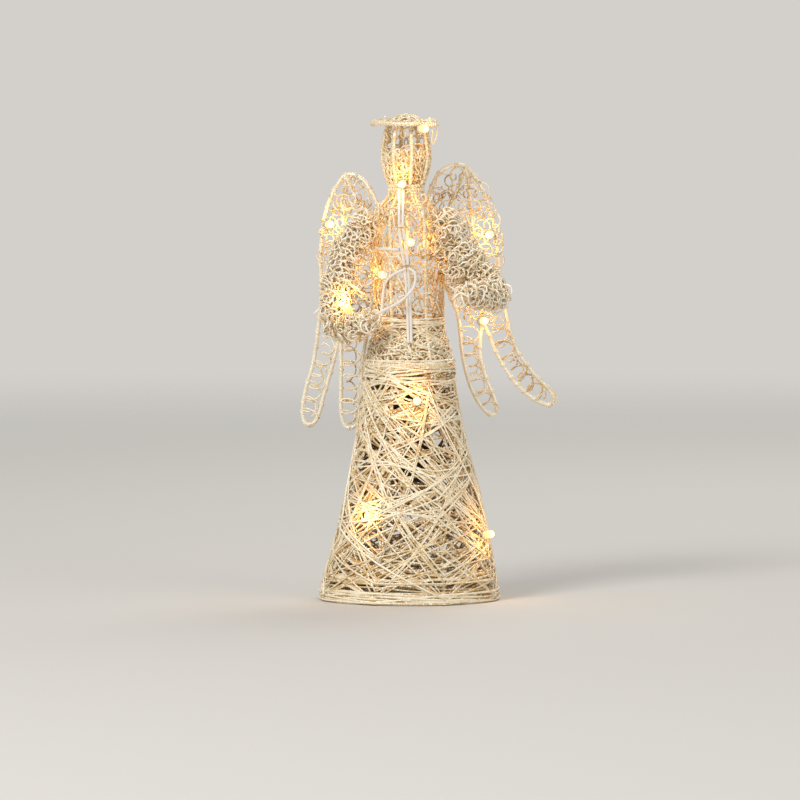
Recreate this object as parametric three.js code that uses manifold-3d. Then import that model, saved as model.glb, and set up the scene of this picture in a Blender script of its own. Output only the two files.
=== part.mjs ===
// Lighted wire angel for the top of a tree: a thread-wound skirt, a wire bodice and head,
// wings and sleeves of curled lace wire, warm white lights and a battery case inside the skirt.
// Millimetres, +Z up. The angel faces -Y, and the origin is on the floor at the middle of the hem.

import * as THREE from 'three';
import { mergeVertices } from 'three/addons/utils/BufferGeometryUtils.js';
import Module from 'manifold-3d';

const wasm = await Module();
wasm.setup();

// Fits
const FIT = 0.3;                 // gap between pieces that touch
const TURN_GAP = 0.8;            // gap between the two layers of skirt thread

// Skirt
const HEM_RADIUS = 54.3;
const HEM_WIRE = 3.4;
const HEM_FLAT = 0.5;            // depth of the flat that the hem stands on
const RIB_COUNT = 8;
const RIB_WIRE = 2.2;
const WAIST_RADIUS = 26.6;
const WAIST_WIRE = 2.4;
const WAIST_HEIGHT = 145.6;
const SKIRT_BOW = 2.6;           // how far the ribs bow in between hem and waist
const THREAD = 1.2;
const SKIRT_LOOPS = 20;
const SKIRT_START = 10;          // degrees, where the winding begins
const STEEP_SWEEP = 80;          // degrees that each steep stroke goes round
const TURN_RISE = 3;             // height over which the thread changes layer
const LEAST_STEP = 1.2;          // degrees, least angle between two points of a stroke

// Belt and bodice
const BELT_LOOPS = 7;
const BELT_PITCH = 3;
const BELT_RISE = 4.5;           // first belt loop above the waist ring
const BODICE_COUNT = 6;
const BODICE_WIRE = 2;
const BODICE_RADIUS = 21;
const NARROW_RISE = 25.4;        // waist ring to the narrowest place
const WAIST_HOLLOW = 0.6;        // how far the wires hollow in below the narrowest place
const BUST_RISE = 51;            // narrowest place to the bust
const BUST_SWELL = 0.6;
const SHOULDER_RISE = 17;        // bust to the shoulders
const SHOULDER_RADIUS = 20;
const COLLAR_RISE = 13.6;        // shoulders to the collar ring
const COLLAR_RADIUS = 10;
const COLLAR_WIRE = 2;
const NECK_LEAN = -1.8;          // sideways lean of the neck and head

// Head and halo
const CAGE_RIBS = 8;
const CAGE_START = 13;           // degrees from the front to the first rib
const CAGE_WIRE = 2;
const HEAD_RISE = 43.1;          // neck ring to the top of the head
const JAW_RADIUS = 13.5;
const JAW_RISE = 8.5;            // neck ring to the jaw
const HEAD_RADIUS = 15;
const CHEEK_RISE = 19.1;         // neck ring to the widest place
const TEMPLE_RADIUS = 12.6;
const TEMPLE_DROP = 9.1;         // top of the head down to the temples
const CROWN_RADIUS = 6.9;
const CROWN_DROP = 1.6;          // top of the head down to the crown
const HALO_RADIUS = 19.3;
const HALO_WIRE = 2.2;
const HALO_DROP = 5;             // top of the head down to the halo
const HALO_SHIFT = -2.5;
const HALO_TILT = 3;             // degrees, lower on the right
const SPOKE_WIRE = 1.6;
const SPOKE_RIBS = [2, 4, 6];    // head ribs that carry the halo

// Wings: distances out from the middle and up from the roll centre
const WING_WIRE = 3;
const STRUT_WIRE = 2.2;
const WING_DROP = 12.8;          // bust down to the roll centre
const WING_ROLL = 5;             // degrees, anticlockwise seen from the front
const WING_SWEEP = 15;           // degrees that the wings lean back
const WING_LOBE = [[15.4, 37], [17.6, 45], [21.4, 52], [27.3, 56.1], [34.1, 57.4], [39.5, 54.9],
  [46.6, 46.9], [50, 39.5], [52.4, 29], [54.9, 7.7], [55.8, -12.3]];
const WING_APEX = [39.5, 54.9];
const WING_INNER = [[26.8, -33], [20.5, -14], [17.4, 10], [16, 26]];
const ROOT_REACH = 8;            // how near the middle line the bars at the root end
const FEATHERS = {
  right: {
    outer: { root: [50.6, -45], tip: [80.8, -96.3], bow: 5.5, width: 12.5 },
    notch: [42.6, -43.8],
    inner: { root: [33, -49.4], tip: [44.4, -100], bow: 3.2, width: 11 },
  },
  left: {
    outer: { root: [54, -48.1], tip: [71.6, -96.9], bow: -1.3, width: 12 },
    notch: [47, -44.5],
    inner: { root: [40.4, -49], tip: [45.7, -100.6], bow: 0.6, width: 13 },
  },
};

// Arms, from the shoulder wire to the cuff
const ARM_WIRE = 2.4;
const ARM_DROP = 3;              // shoulders down to the arm's seat, from which its heights are taken
const ARMS = {
  left: { upper: [-42.6, -2, -30], elbow: [-51.2, -6, -68.5], cuff: [-17.9, -33, -60.8] },
  right: { upper: [37.6, -2, -20.7], elbow: [59.2, -8, -46.6], cuff: [28.4, -38, -50.3] },
};

// Lace wire
const LACE_WIRE = 1.1;
const LACE_STEPS = 8;            // points in one curl
const LACE_SIDES = 4;
const SLEEVE_CURLS = 10;
const SLEEVE_RADIUS = 7.2;
const SLEEVE_SPAN = [0.15, 0.93]; // shares of the arm's length
const SLEEVE_BEND = 0.1;         // share of the arm over which the elbow draws the coil in
const SLEEVE_PINCH = 0.5;
const SLEEVE_OPENING = 0.6;      // share of the coil's radius at the shoulder
const SLEEVE_FLARE = 3;          // how quickly it opens from there
const WING_CURLS = 12.5;
const WING_CURL_RADIUS = 8.2;
const WING_CURL_DEPTH = 3.6;
const WING_SPINE = [[30.5, 46], [35.5, 28], [37, 8], [36.5, -10], [34, -27]];
const BODICE_CURLS = 14;
const BODICE_CURL_RADIUS = 5.2;
const BODICE_CURL_DEPTH = 1.6;
const BODICE_LACE_RISE = [8, 58]; // above the narrowest place
const HEAD_CURLS = 9;
const HEAD_CURL_RADIUS = 3.4;
const HEAD_CURL_DEPTH = 1.3;
const HEAD_LACE_RADIUS = 8.5;
const HEAD_LACE_RISE = [7.1, 28.1]; // above the neck ring
const HALO_CURLS = 10;
const HALO_CURL_RADIUS = 2.7;
const HALO_CURL_SPAN = [-68, 95];

// Lights and leads
const LED_DIAMETER = 4.6;
const LED_COLLAR = 5.2;
const LED_COLLAR_LENGTH = 2.4;
const LED_LENGTH = 8;
const LEAD = 1.8;
const LEAD_SPACING = 2.4;        // between the two chest leads at a tie
const TIE_WIRE = 1;
const TIE_SLACK = 0.6;
const TIES = [[-4.9, -22.4, 84.4], [-1.85, -22.4, 61.1]];
const LEADS = {                   // heights from the waist ring
  chest_lead_left: [[-6.1, -11.6, 106.8], [-6.1, -17, 97.4], [-6.1, -22.4, 84.4], [-5.2, -22.6, 73.4],
    [-3.05, -22.4, 61.1], [-2.2, -22.2, 44.4], [-1.6, -22.8, 24.4], [-1.2, -24.2, 11.4]],
  chest_lead_right: [[-3.7, -12.05, 106.8], [-3.7, -17, 97.4], [-3.7, -22.4, 84.4], [1, -22.8, 74.9],
    [-0.65, -22.4, 61.1], [0.6, -22.2, 44.4], [0.9, -22.8, 24.4], [1.2, -24.2, 11.4]],
  cuff_lead: [[-0.3, -24.6, 58.4], [2.5, -25.2, 54.4], [1.6, -26, 46.9], [-5.5, -28.5, 38.9],
    [-11, -34, 32.9], [-13.3, -36.7, 30.7], [-17.67, -33.19, 29.65]],
  bodice_lead: [[-20.9, -2.3, 50.4], [-18.6, -10.4, 45.4], [-16, -14.6, 38.4], [-11.9, -17.5, 32.9]],
  wing_lead: [[-6.2, -22.5, 70.4], [-11.9, -20.9, 70.7], [-17.5, -14.5, 70.9], [-21.8, -5.5, 70.4],
    [-22.5, -1.5, 69.9]],
  battery_lead: [[4, 9, -11.5], [4, 8, -3.6], [2, 4, 14.4], [0, 0, 44.4], [-1, -3, 79.4], [-1.8, -6.5, 100.4],
    [-1.8, -8.6, 106.6]],
};
const CHEST_LIGHT_POINT = 3;      // the point of the right chest lead that carries a light
const BODICE_LIGHT_RISE = 31.4;   // above the narrowest place
const BODICE_LIGHT_TURN = 17.5;   // degrees from the front
const NECK_LIGHT_ANGLE = -10;     // degrees from the front
const HALO_LIGHT_CURL = 6;        // the curl of the halo that carries its light
const SLEEVE_LIGHT_CURL = 8.5;    // the curl of the left sleeve that carries its light
const WING_LIGHTS = {             // place on the frame, and how far the light turns inwards
  wing_left: { side: 'left', spot: [52.7, 25.9], inward: 0.5 },
  wing_right: { side: 'right', spot: [54.6, 10.4], inward: 0.5 },
  wing_notch: { side: 'right', spot: FEATHERS.right.notch, inward: 0 },
};
const SKIRT_LIGHTS = {            // degrees from the front, and depth below the waist ring
  skirt_upper: [7.9, 21.6],
  skirt_left: [-39, 97],
  skirt_right: [68, 106.1],
};

// Battery case
const CELL_DIAMETER = 10.5;
const CELL_LENGTH = 44.5;
const CELL_BUTTON = 3.8;
const CELL_BUTTON_LENGTH = 0.9;
const CELL_EDGE = 0.4;           // rounding at the ends of a cell
const CELL_CLEARANCE = 0.5;
const SPRING_LENGTH = 5;
const SPRING_WIRE = 0.7;
const SPRING_RADIUS = 3.2;
const SPRING_TURNS = 3;
const PLATE_THICKNESS = 0.6;
const CASE_WALL = 1.6;
const COVER_THICKNESS = 1.4;
const COVER_GROOVE = 0.8;        // how deep the cover runs in the side walls
const COVER_LIP = 1.2;
const CASE_REAR = 18;            // Y of the rear face
const CASE_DROP = 73.6;          // waist ring down to the lower end
const SWITCH_BAY = 8;
const SWITCH_SIZE = [5, 3.4, 6];
const SWITCH_TRAVEL = 4;
const SWITCH_PROUD = 2;
const RIDGE_COUNT = 3;
const RIDGE_SPACING = 3;
const RIDGE_LENGTH = 12;
const RIDGE_HEIGHT = 0.8;
const HOOK_WIDTH = 8;
const HOOK_THICKNESS = 1.5;
const HOOK_DROP = 3;             // how far the hook turns down outside the ring

const COLOURS = {
  frame: { color: 0xdcc494, roughness: 0.32, metalness: 0.9 },
  thread: { color: 0xd9bd88, roughness: 0.45, metalness: 0.6 },
  lace: { color: 0xddd3bd, roughness: 0.35, metalness: 0.8 },
  light: { color: 0xffe2a0, roughness: 0.2, metalness: 0, emissive: 0xffc060 },
  lead: { color: 0xf2eee4, roughness: 0.5, metalness: 0 },
  tie: { color: 0xcfc2a4, roughness: 0.4, metalness: 0.7 },
  housing: { color: 0x2b2b2d, roughness: 0.6, metalness: 0 },
  cell: { color: 0x6d7277, roughness: 0.4, metalness: 0.5 },
  steel: { color: 0xb8bcc0, roughness: 0.35, metalness: 0.9 },
};

const WIRE_SIDES = 6;
const THIN_SIDES = 5;            // on the head's wires and the leads
const RING_STEPS = 28;           // facets round the waist and the halo
const NECK_STEPS = 16;           // facets round the collar and the neck ring
const FRONT = -90;               // the angle that faces the viewer, in degrees from +X

// Heights that follow from the rises and drops
const NARROW_HEIGHT = WAIST_HEIGHT + NARROW_RISE;
const BUST_HEIGHT = NARROW_HEIGHT + BUST_RISE;
const SHOULDER_HEIGHT = BUST_HEIGHT + SHOULDER_RISE;
const COLLAR_HEIGHT = SHOULDER_HEIGHT + COLLAR_RISE;
const NECK_HEIGHT = COLLAR_HEIGHT + COLLAR_WIRE / 2 + FIT + CAGE_WIRE / 2;
const HEAD_TOP = NECK_HEIGHT + HEAD_RISE;
const HALO_HEIGHT = HEAD_TOP - HALO_DROP;
const WING_CENTRE = BUST_HEIGHT - WING_DROP;
const ARM_HEIGHT = SHOULDER_HEIGHT - ARM_DROP;
const CASE_BASE = WAIST_HEIGHT - CASE_DROP;

const angel = new THREE.Group();

function addPart(name, geometry, finish) {
  const mesh = new THREE.Mesh(closedBody(geometry), new THREE.MeshStandardMaterial(COLOURS[finish]));
  mesh.name = name;
  angel.add(mesh);
  return mesh;
}

function vec(x, y, z) {
  return new THREE.Vector3(x, y, z);
}

function polar(degrees, radius, z) {
  const angle = THREE.MathUtils.degToRad(degrees);
  return vec(radius * Math.cos(angle), radius * Math.sin(angle), z);
}

// Merges shared vertices and turns the faces outwards.
function closedBody(geometry) {
  const bare = new THREE.BufferGeometry();
  bare.setAttribute('position', geometry.getAttribute('position'));
  bare.setIndex(geometry.getIndex());
  const merged = mergeVertices(bare, 1e-3);
  const index = [];
  const corner = merged.getAttribute('position');
  const points = [vec(0, 0, 0), vec(0, 0, 0), vec(0, 0, 0)];
  let volume = 0;
  for (let i = 0; i < merged.index.count; i += 3) {
    const [a, b, c] = [0, 1, 2].map((k) => merged.index.getX(i + k));
    if (a === b || b === c || c === a) continue;
    index.push(a, b, c);
    [a, b, c].forEach((n, k) => points[k].fromBufferAttribute(corner, n));
    volume += points[0].dot(points[1].clone().cross(points[2])) / 6;
  }
  if (volume < 0) index.reverse();
  merged.setIndex(index);
  merged.computeVertexNormals();
  return merged;
}

function toManifold(geometry) {
  const body = closedBody(geometry);
  return new wasm.Manifold(new wasm.Mesh({
    numProp: 3,
    vertProperties: new Float32Array(body.getAttribute('position').array),
    triVerts: new Uint32Array(body.getIndex().array),
  }));
}

function fromManifold(solid) {
  const mesh = solid.getMesh();
  const geometry = new THREE.BufferGeometry();
  geometry.setAttribute('position', new THREE.BufferAttribute(mesh.vertProperties, 3));
  geometry.setIndex(new THREE.BufferAttribute(mesh.triVerts, 1));
  return geometry;
}

function joined(geometries) {
  return fromManifold(geometries.map(toManifold).reduce((sum, next) => sum.add(next)));
}

function cut(geometry, tools) {
  const body = tools.map(toManifold).reduce((rest, tool) => rest.subtract(tool), toManifold(geometry));
  return fromManifold(body);
}

function block(low, high) {
  const size = high.map((value, i) => value - low[i]);
  return new THREE.BoxGeometry(...size).translate(...low.map((value, i) => value + size[i] / 2));
}

function roundSection(diameter, sides) {
  const corners = Array.from({ length: sides }, (_, i) => {
    const angle = (2 * Math.PI * i) / sides;
    return new THREE.Vector2(Math.cos(angle), Math.sin(angle)).multiplyScalar(diameter / 2);
  });
  return new THREE.Shape(corners);
}

// A bent wire: a round section carried along a smooth curve through the points.
function wire(points, diameter, steps, sides = WIRE_SIDES) {
  const path = points.length > 2
    ? new THREE.CatmullRomCurve3(points, false, 'centripetal')
    : new THREE.LineCurve3(...points);
  return new THREE.ExtrudeGeometry(roundSection(diameter, sides), { steps, extrudePath: path });
}

function wireRing(radius, diameter, z, segments) {
  return new THREE.TorusGeometry(radius, diameter / 2, WIRE_SIDES, segments).translate(0, 0, z);
}

// A profile of [radius, height] points turned about the Z axis.
function turned(profile, segments) {
  const points = profile.map(([radius, z]) => new THREE.Vector2(radius, z));
  return new THREE.LatheGeometry(points, segments).rotateX(Math.PI / 2);
}

// A tube with flat ends along a list of points, one ring of the section at each point.
function tubeThrough(points, diameter, sides) {
  const rings = [];
  let across = null;
  points.forEach((point, i) => {
    const before = points[Math.max(i - 1, 0)];
    const after = points[Math.min(i + 1, points.length - 1)];
    const along = after.clone().sub(before).normalize();
    if (!across) across = Math.abs(along.z) > 0.8 ? vec(1, 0, 0) : vec(0, 0, 1);
    across = across.clone().addScaledVector(along, -across.dot(along)).normalize();
    const beside = along.clone().cross(across);
    for (let k = 0; k < sides; k += 1) {
      const angle = (2 * Math.PI * k) / sides;
      const out = across.clone().multiplyScalar(Math.cos(angle)).addScaledVector(beside, Math.sin(angle));
      rings.push(...point.clone().addScaledVector(out, diameter / 2).toArray());
    }
  });
  const index = [];
  const last = (points.length - 1) * sides;
  for (let i = 0; i < last; i += sides) {
    for (let k = 0; k < sides; k += 1) {
      const next = (k + 1) % sides;
      index.push(i + k, i + next, i + sides + next, i + k, i + sides + next, i + sides + k);
    }
  }
  for (let k = 1; k < sides - 1; k += 1) {
    index.push(0, k + 1, k, last, last + k, last + k + 1);
  }
  const geometry = new THREE.BufferGeometry();
  geometry.setAttribute('position', new THREE.Float32BufferAttribute(rings, 3));
  geometry.setIndex(index);
  return geometry;
}

// Least gap between stretches of one tube that are more than a few diameters apart along it.
function leastSelfGap(points, diameter) {
  const path = new THREE.CurvePath();
  points.slice(1).forEach((point, i) => path.add(new THREE.LineCurve3(points[i], point)));
  const spacing = diameter / 2;
  const samples = path.getSpacedPoints(Math.ceil(path.getLength() / spacing));
  const skip = 7;
  let least = Infinity;
  for (let i = 0; i < samples.length; i += 1) {
    for (let j = i + skip; j < samples.length; j += 1) {
      least = Math.min(least, samples[i].distanceToSquared(samples[j]));
    }
  }
  return Math.sqrt(least) - diameter;
}

function addForm(name, points, diameter, sides, finish) {
  console.log(`${name}: least gap to itself ${leastSelfGap(points, diameter).toFixed(2)} mm`);
  addPart(name, tubeThrough(points, diameter, sides), finish);
}

// Radius of a [radius, height] curve at a height, where the height only rises along it.
function radiusAt(curve, z) {
  let [low, high] = [0, 1];
  for (let i = 0; i < 40; i += 1) {
    const middle = (low + high) / 2;
    if (curve.getPoint(middle).y < z) low = middle;
    else high = middle;
  }
  return curve.getPoint(low).x;
}

// Skirt: hem, ribs, waist ring and the wound thread
const HEM_LIFT = HEM_WIRE / 2 - HEM_FLAT;
const RIB_FOOT = HEM_RADIUS - HEM_WIRE / 2 - FIT - RIB_WIRE / 2;
const RIB_HEAD = WAIST_RADIUS - WAIST_WIRE / 2 - FIT - RIB_WIRE / 2;
const RIB_SPAN = 360 / RIB_COUNT;
const INNER_LAYER = RIB_WIRE / 2 + FIT + THREAD / 2;
const OUTER_LAYER = INNER_LAYER + THREAD + TURN_GAP;
const TURN_LAYER = (INNER_LAYER + OUTER_LAYER) / 2;
const SKIRT_LOW = HEM_LIFT + HEM_WIRE / 2 + FIT + THREAD / 2;
const SKIRT_HIGH = WAIST_HEIGHT - WAIST_WIRE / 2 - FIT - THREAD / 2;

function ribRadius(z) {
  const share = z / WAIST_HEIGHT;
  return RIB_FOOT + (RIB_HEAD - RIB_FOOT) * share - SKIRT_BOW * Math.sin(Math.PI * share);
}

// The hem's section is a circle whose lowest part is cut flat.
function hemRing() {
  const radius = HEM_WIRE / 2;
  const flatAngle = Math.acos(HEM_LIFT / radius);
  const corners = 8;
  const profile = Array.from({ length: corners + 1 }, (_, i) => {
    const angle = -Math.PI / 2 + flatAngle + ((2 * Math.PI - 2 * flatAngle) * i) / corners;
    return [HEM_RADIUS + radius * Math.cos(angle), HEM_LIFT + radius * Math.sin(angle)];
  });
  return turned([...profile, profile[0]], 32);
}

function skirtRib(index) {
  const degrees = (index + 0.5) * RIB_SPAN;
  const foot = HEM_LIFT / 2;
  const head = WAIST_HEIGHT + WAIST_WIRE / 2;
  const stations = 5;
  const points = Array.from({ length: stations }, (_, i) => {
    const z = foot + ((head - foot) * i) / (stations - 1);
    return polar(degrees, ribRadius(z), z);
  });
  return wire(points, RIB_WIRE, 6);
}

// A place on the flat panel of thread between two ribs, at a distance out from the ribs' centres.
function skirtPoint(degrees, z, layer) {
  const past = THREE.MathUtils.euclideanModulo(degrees - RIB_SPAN / 2, RIB_SPAN) - RIB_SPAN / 2;
  const rad = THREE.MathUtils.degToRad;
  const flatness = Math.cos(rad(RIB_SPAN / 2)) / Math.cos(rad(past));
  return polar(degrees, (ribRadius(z) + layer) * flatness, z);
}

// One stroke of thread, straight between the ribs that it crosses, with its layer reached past each turn.
function skirtStroke(from, to, zFrom, zTo, layer) {
  const lead = ((to - from) * TURN_RISE) / Math.abs(zTo - zFrom);
  const angles = [];
  for (let rib = Math.ceil(from / RIB_SPAN - 0.5); (rib + 0.5) * RIB_SPAN < to; rib += 1) {
    const degrees = (rib + 0.5) * RIB_SPAN;
    if (degrees - from > LEAST_STEP && to - degrees > LEAST_STEP) angles.push(degrees);
  }
  [from + lead, to - lead].forEach((degrees) => {
    if (angles.every((other) => Math.abs(other - degrees) > LEAST_STEP)) angles.push(degrees);
  });
  return angles.sort((a, b) => a - b).map((degrees) => {
    const z = zFrom + ((zTo - zFrom) * (degrees - from)) / (to - from);
    const settled = Math.min(1, (degrees - from) / lead, (to - degrees) / lead);
    return skirtPoint(degrees, z, TURN_LAYER + (layer - TURN_LAYER) * settled);
  });
}

const steepStrokes = [];

// Steep strokes lie on the outer layer and long wraps on the inner one, so that they cross freely.
function skirtWinding() {
  const advance = 360 / SKIRT_LOOPS;
  const points = [];
  for (let loop = 0; loop < SKIRT_LOOPS; loop += 1) {
    const foot = SKIRT_START + loop * (360 + advance);
    const head = foot + STEEP_SWEEP;
    const nextFoot = foot + 360 + advance;
    points.push(skirtPoint(foot, SKIRT_LOW, TURN_LAYER));
    steepStrokes.push(skirtStroke(foot, head, SKIRT_LOW, SKIRT_HIGH, OUTER_LAYER));
    points.push(...steepStrokes[loop]);
    points.push(skirtPoint(head, SKIRT_HIGH, TURN_LAYER));
    points.push(...skirtStroke(head, nextFoot, SKIRT_HIGH, SKIRT_LOW, INNER_LAYER));
  }
  return points;
}

addPart('hem_ring', hemRing(), 'frame');
for (let i = 0; i < RIB_COUNT; i += 1) addPart(`skirt_rib_${i + 1}`, skirtRib(i), 'frame');
addPart('waist_ring', wireRing(WAIST_RADIUS, WAIST_WIRE, WAIST_HEIGHT, RING_STEPS), 'frame');
addForm('skirt_winding', skirtWinding(), THREAD, 5, 'thread');

// Bodice: wires from the waist ring to the collar, the thread belt and the lace inside
const BODICE_FOOT = WAIST_HEIGHT + WAIST_WIRE / 2 + FIT;
const COLLAR_SEAT = COLLAR_WIRE / 2 + FIT;
const bodiceProfile = bodiceCurve();

// The wires rise from the waist ring, draw in, swell to the bust and turn in over the shoulders.
function bodiceCurve() {
  const slope = new THREE.Vector2(SHOULDER_RADIUS - COLLAR_RADIUS, -COLLAR_RISE).normalize();
  return new THREE.SplineCurve([
    new THREE.Vector2(WAIST_RADIUS, BODICE_FOOT),
    new THREE.Vector2((WAIST_RADIUS + BODICE_RADIUS) / 2 - WAIST_HOLLOW, (BODICE_FOOT + NARROW_HEIGHT) / 2),
    new THREE.Vector2(BODICE_RADIUS, NARROW_HEIGHT),
    new THREE.Vector2(BODICE_RADIUS + BUST_SWELL, BUST_HEIGHT),
    new THREE.Vector2(SHOULDER_RADIUS, SHOULDER_HEIGHT),
    new THREE.Vector2(COLLAR_RADIUS, COLLAR_HEIGHT).addScaledVector(slope, COLLAR_SEAT),
  ]);
}

function lean(z) {
  const share = THREE.MathUtils.clamp((z - NARROW_HEIGHT) / (COLLAR_HEIGHT - NARROW_HEIGHT), 0, 1);
  return vec(NECK_LEAN * share, 0, 0);
}

function bodicePoint(degrees, z, out = 0) {
  return polar(degrees, radiusAt(bodiceProfile, z) + out, z).add(lean(z));
}

function bodiceWire(index) {
  const degrees = (index * 360) / BODICE_COUNT;
  const points = bodiceProfile.getPoints(10).map(({ x, y }) => polar(degrees, x, y).add(lean(y)));
  return wire(points, BODICE_WIRE, 12);
}

// The belt goes straight from wire to wire and climbs by its pitch each time round.
function beltWinding() {
  const out = BODICE_WIRE / 2 + FIT + THREAD / 2;
  return Array.from({ length: BELT_LOOPS * BODICE_COUNT + 1 }, (_, i) => {
    const z = BODICE_FOOT + BELT_RISE + (BELT_PITCH * i) / BODICE_COUNT;
    return bodicePoint(((i + 1) * 360) / BODICE_COUNT, z, out);
  });
}

// Curls along a spine: circles in the plane of the spine's direction and the sideways direction,
// tipped in depth so that each curl passes clear of the next. The first begins at an angle, in degrees,
// and the hand says which way they turn.
function curlsAlong(spine, face, count, radius, depth, begin = 0, hand = 1) {
  const total = count * LACE_STEPS;
  return Array.from({ length: total + 1 }, (_, i) => {
    const t = i / total;
    const step = 0.5 / total;
    const along = spine(Math.min(t + step, 1)).sub(spine(Math.max(t - step, 0))).normalize();
    const out = face(t);
    const beside = out.clone().cross(along).normalize().multiplyScalar(hand);
    const turn = THREE.MathUtils.degToRad(begin) + (2 * Math.PI * i) / LACE_STEPS;
    return spine(t)
      .addScaledVector(along, radius * Math.cos(turn))
      .addScaledVector(beside, radius * Math.sin(turn))
      .addScaledVector(out, depth * Math.cos(turn));
  });
}

// Lace that circles inside a cage of upright wires: its ends run straight out to the wires.
function laceInside(wires, spineRadius, heights, angles, count, radius, depth) {
  const lag = THREE.MathUtils.radToDeg(Math.atan2(radius, spineRadius + depth));
  const degrees = (t) => angles[0] - lag + (angles[1] - angles[0]) * t;
  const height = (t) => heights[0] + (heights[1] - heights[0]) * t;
  const spine = (t) => polar(degrees(t), spineRadius, height(t)).add(wires.lean(height(t)));
  const curls = curlsAlong(spine, (t) => polar(degrees(t), 1, 0), count, radius, depth);
  const seat = (angle, { z }) => polar(angle, wires.radius(z) - wires.wire / 2 - FIT, z).add(wires.lean(z));
  return [seat(angles[0], curls[0]), ...curls, seat(angles[1], curls.at(-1))];
}

// A coil round a curve, with a straight end at each side that runs in to the wire it is wound on.
function coilRound(centre, frame, count, radius, core) {
  const total = count * LACE_STEPS;
  const place = (i, distance) => {
    const t = i / total;
    const turn = (2 * Math.PI * i) / LACE_STEPS;
    const [first, second] = frame(t);
    return centre(t)
      .addScaledVector(first, distance * Math.cos(turn))
      .addScaledVector(second, distance * Math.sin(turn));
  };
  const seat = core / 2 + FIT;
  const turns = Array.from({ length: total + 1 }, (_, i) => place(i, radius(i / total)));
  return [place(0, seat), ...turns, place(total, seat)];
}

// The curls lie as far out as the wires let them.
function bodiceLace() {
  const wires = { radius: (z) => radiusAt(bodiceProfile, z), wire: BODICE_WIRE, lean };
  const room = BODICE_RADIUS - BODICE_WIRE / 2 - FIT - 2 * LACE_WIRE - BODICE_CURL_DEPTH;
  const spineRadius = Math.sqrt(room ** 2 - BODICE_CURL_RADIUS ** 2);
  const wireStep = 360 / BODICE_COUNT;
  const heights = BODICE_LACE_RISE.map((rise) => NARROW_HEIGHT + rise);
  return laceInside(wires, spineRadius, heights, [-2 * wireStep, 8 * wireStep],
    BODICE_CURLS, BODICE_CURL_RADIUS, BODICE_CURL_DEPTH);
}

for (let i = 0; i < BODICE_COUNT; i += 1) addPart(`bodice_wire_${i + 1}`, bodiceWire(i), 'frame');
const collarRing = wireRing(COLLAR_RADIUS, COLLAR_WIRE, COLLAR_HEIGHT, NECK_STEPS);
addPart('collar_ring', collarRing.translate(NECK_LEAN, 0, 0), 'frame');
addForm('belt_winding', beltWinding(), THREAD, 5, 'thread');
addForm('bodice_lace', bodiceLace(), LACE_WIRE, LACE_SIDES, 'lace');

// Head: arches over the top from a neck ring that sits on the collar, and lace inside
const HEAD_LEAN = vec(NECK_LEAN, 0, 0);
const headProfile = headCurve();

function headCurve() {
  const side = [
    new THREE.Vector2(COLLAR_RADIUS, NECK_HEIGHT),
    new THREE.Vector2(JAW_RADIUS, NECK_HEIGHT + JAW_RISE),
    new THREE.Vector2(HEAD_RADIUS, NECK_HEIGHT + CHEEK_RISE),
    new THREE.Vector2(TEMPLE_RADIUS, HEAD_TOP - TEMPLE_DROP),
    new THREE.Vector2(CROWN_RADIUS, HEAD_TOP - CROWN_DROP),
  ];
  const otherSide = side.map(({ x, y }) => new THREE.Vector2(-x, y)).reverse();
  return new THREE.SplineCurve([...side, new THREE.Vector2(0, HEAD_TOP), ...otherSide]);
}

function headRadius(z) {
  const side = { getPoint: (t) => headProfile.getPoint(t / 2) };
  return radiusAt(side, z);
}

function headCage() {
  const ring = wireRing(COLLAR_RADIUS, CAGE_WIRE, NECK_HEIGHT, NECK_STEPS).translate(NECK_LEAN, 0, 0);
  const arches = Array.from({ length: CAGE_RIBS / 2 }, (_, i) => {
    const degrees = FRONT + CAGE_START + (i * 360) / CAGE_RIBS;
    const points = headProfile.getPoints(20).map(({ x, y }) => polar(degrees, x, y).add(HEAD_LEAN));
    return wire(points, CAGE_WIRE, 14, THIN_SIDES);
  });
  return joined([ring, ...arches]);
}

function headLace() {
  const wires = { radius: headRadius, wire: CAGE_WIRE, lean: () => HEAD_LEAN };
  const ribStep = 360 / CAGE_RIBS;
  const start = FRONT + CAGE_START - ribStep;
  const heights = HEAD_LACE_RISE.map((rise) => NECK_HEIGHT + rise);
  return laceInside(wires, HEAD_LACE_RADIUS, heights, [start, start + 10 * ribStep],
    HEAD_CURLS, HEAD_CURL_RADIUS, HEAD_CURL_DEPTH);
}

// Halo: a tilted ring on spokes from the head's ribs, with curls round its front
function haloPoint(degrees) {
  const tilt = Math.tan(THREE.MathUtils.degToRad(HALO_TILT));
  const place = polar(FRONT + degrees, HALO_RADIUS, HALO_HEIGHT);
  return place.add(vec(HALO_SHIFT, 0, -place.x * tilt));
}

function haloRing() {
  const ring = new THREE.TorusGeometry(HALO_RADIUS, HALO_WIRE / 2, WIRE_SIDES, RING_STEPS)
    .rotateY(THREE.MathUtils.degToRad(HALO_TILT))
    .translate(HALO_SHIFT, 0, HALO_HEIGHT);
  const spokes = SPOKE_RIBS.map((rib) => {
    const degrees = CAGE_START + (rib * 360) / CAGE_RIBS;
    const outer = haloPoint(degrees);
    const reach = headRadius(outer.z) + (CAGE_WIRE + SPOKE_WIRE) / 2 + FIT;
    const inner = polar(FRONT + degrees, reach, outer.z).add(HEAD_LEAN);
    return wire([inner, outer], SPOKE_WIRE, 1);
  });
  return joined([ring, ...spokes]);
}

function haloLace() {
  const [from, to] = HALO_CURL_SPAN;
  const degrees = (t) => from + (to - from) * t;
  const frame = (t) => [polar(FRONT + degrees(t), 1, 0), vec(0, 0, 1)];
  return coilRound((t) => haloPoint(degrees(t)), frame, HALO_CURLS, () => HALO_CURL_RADIUS, HALO_WIRE);
}

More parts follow.
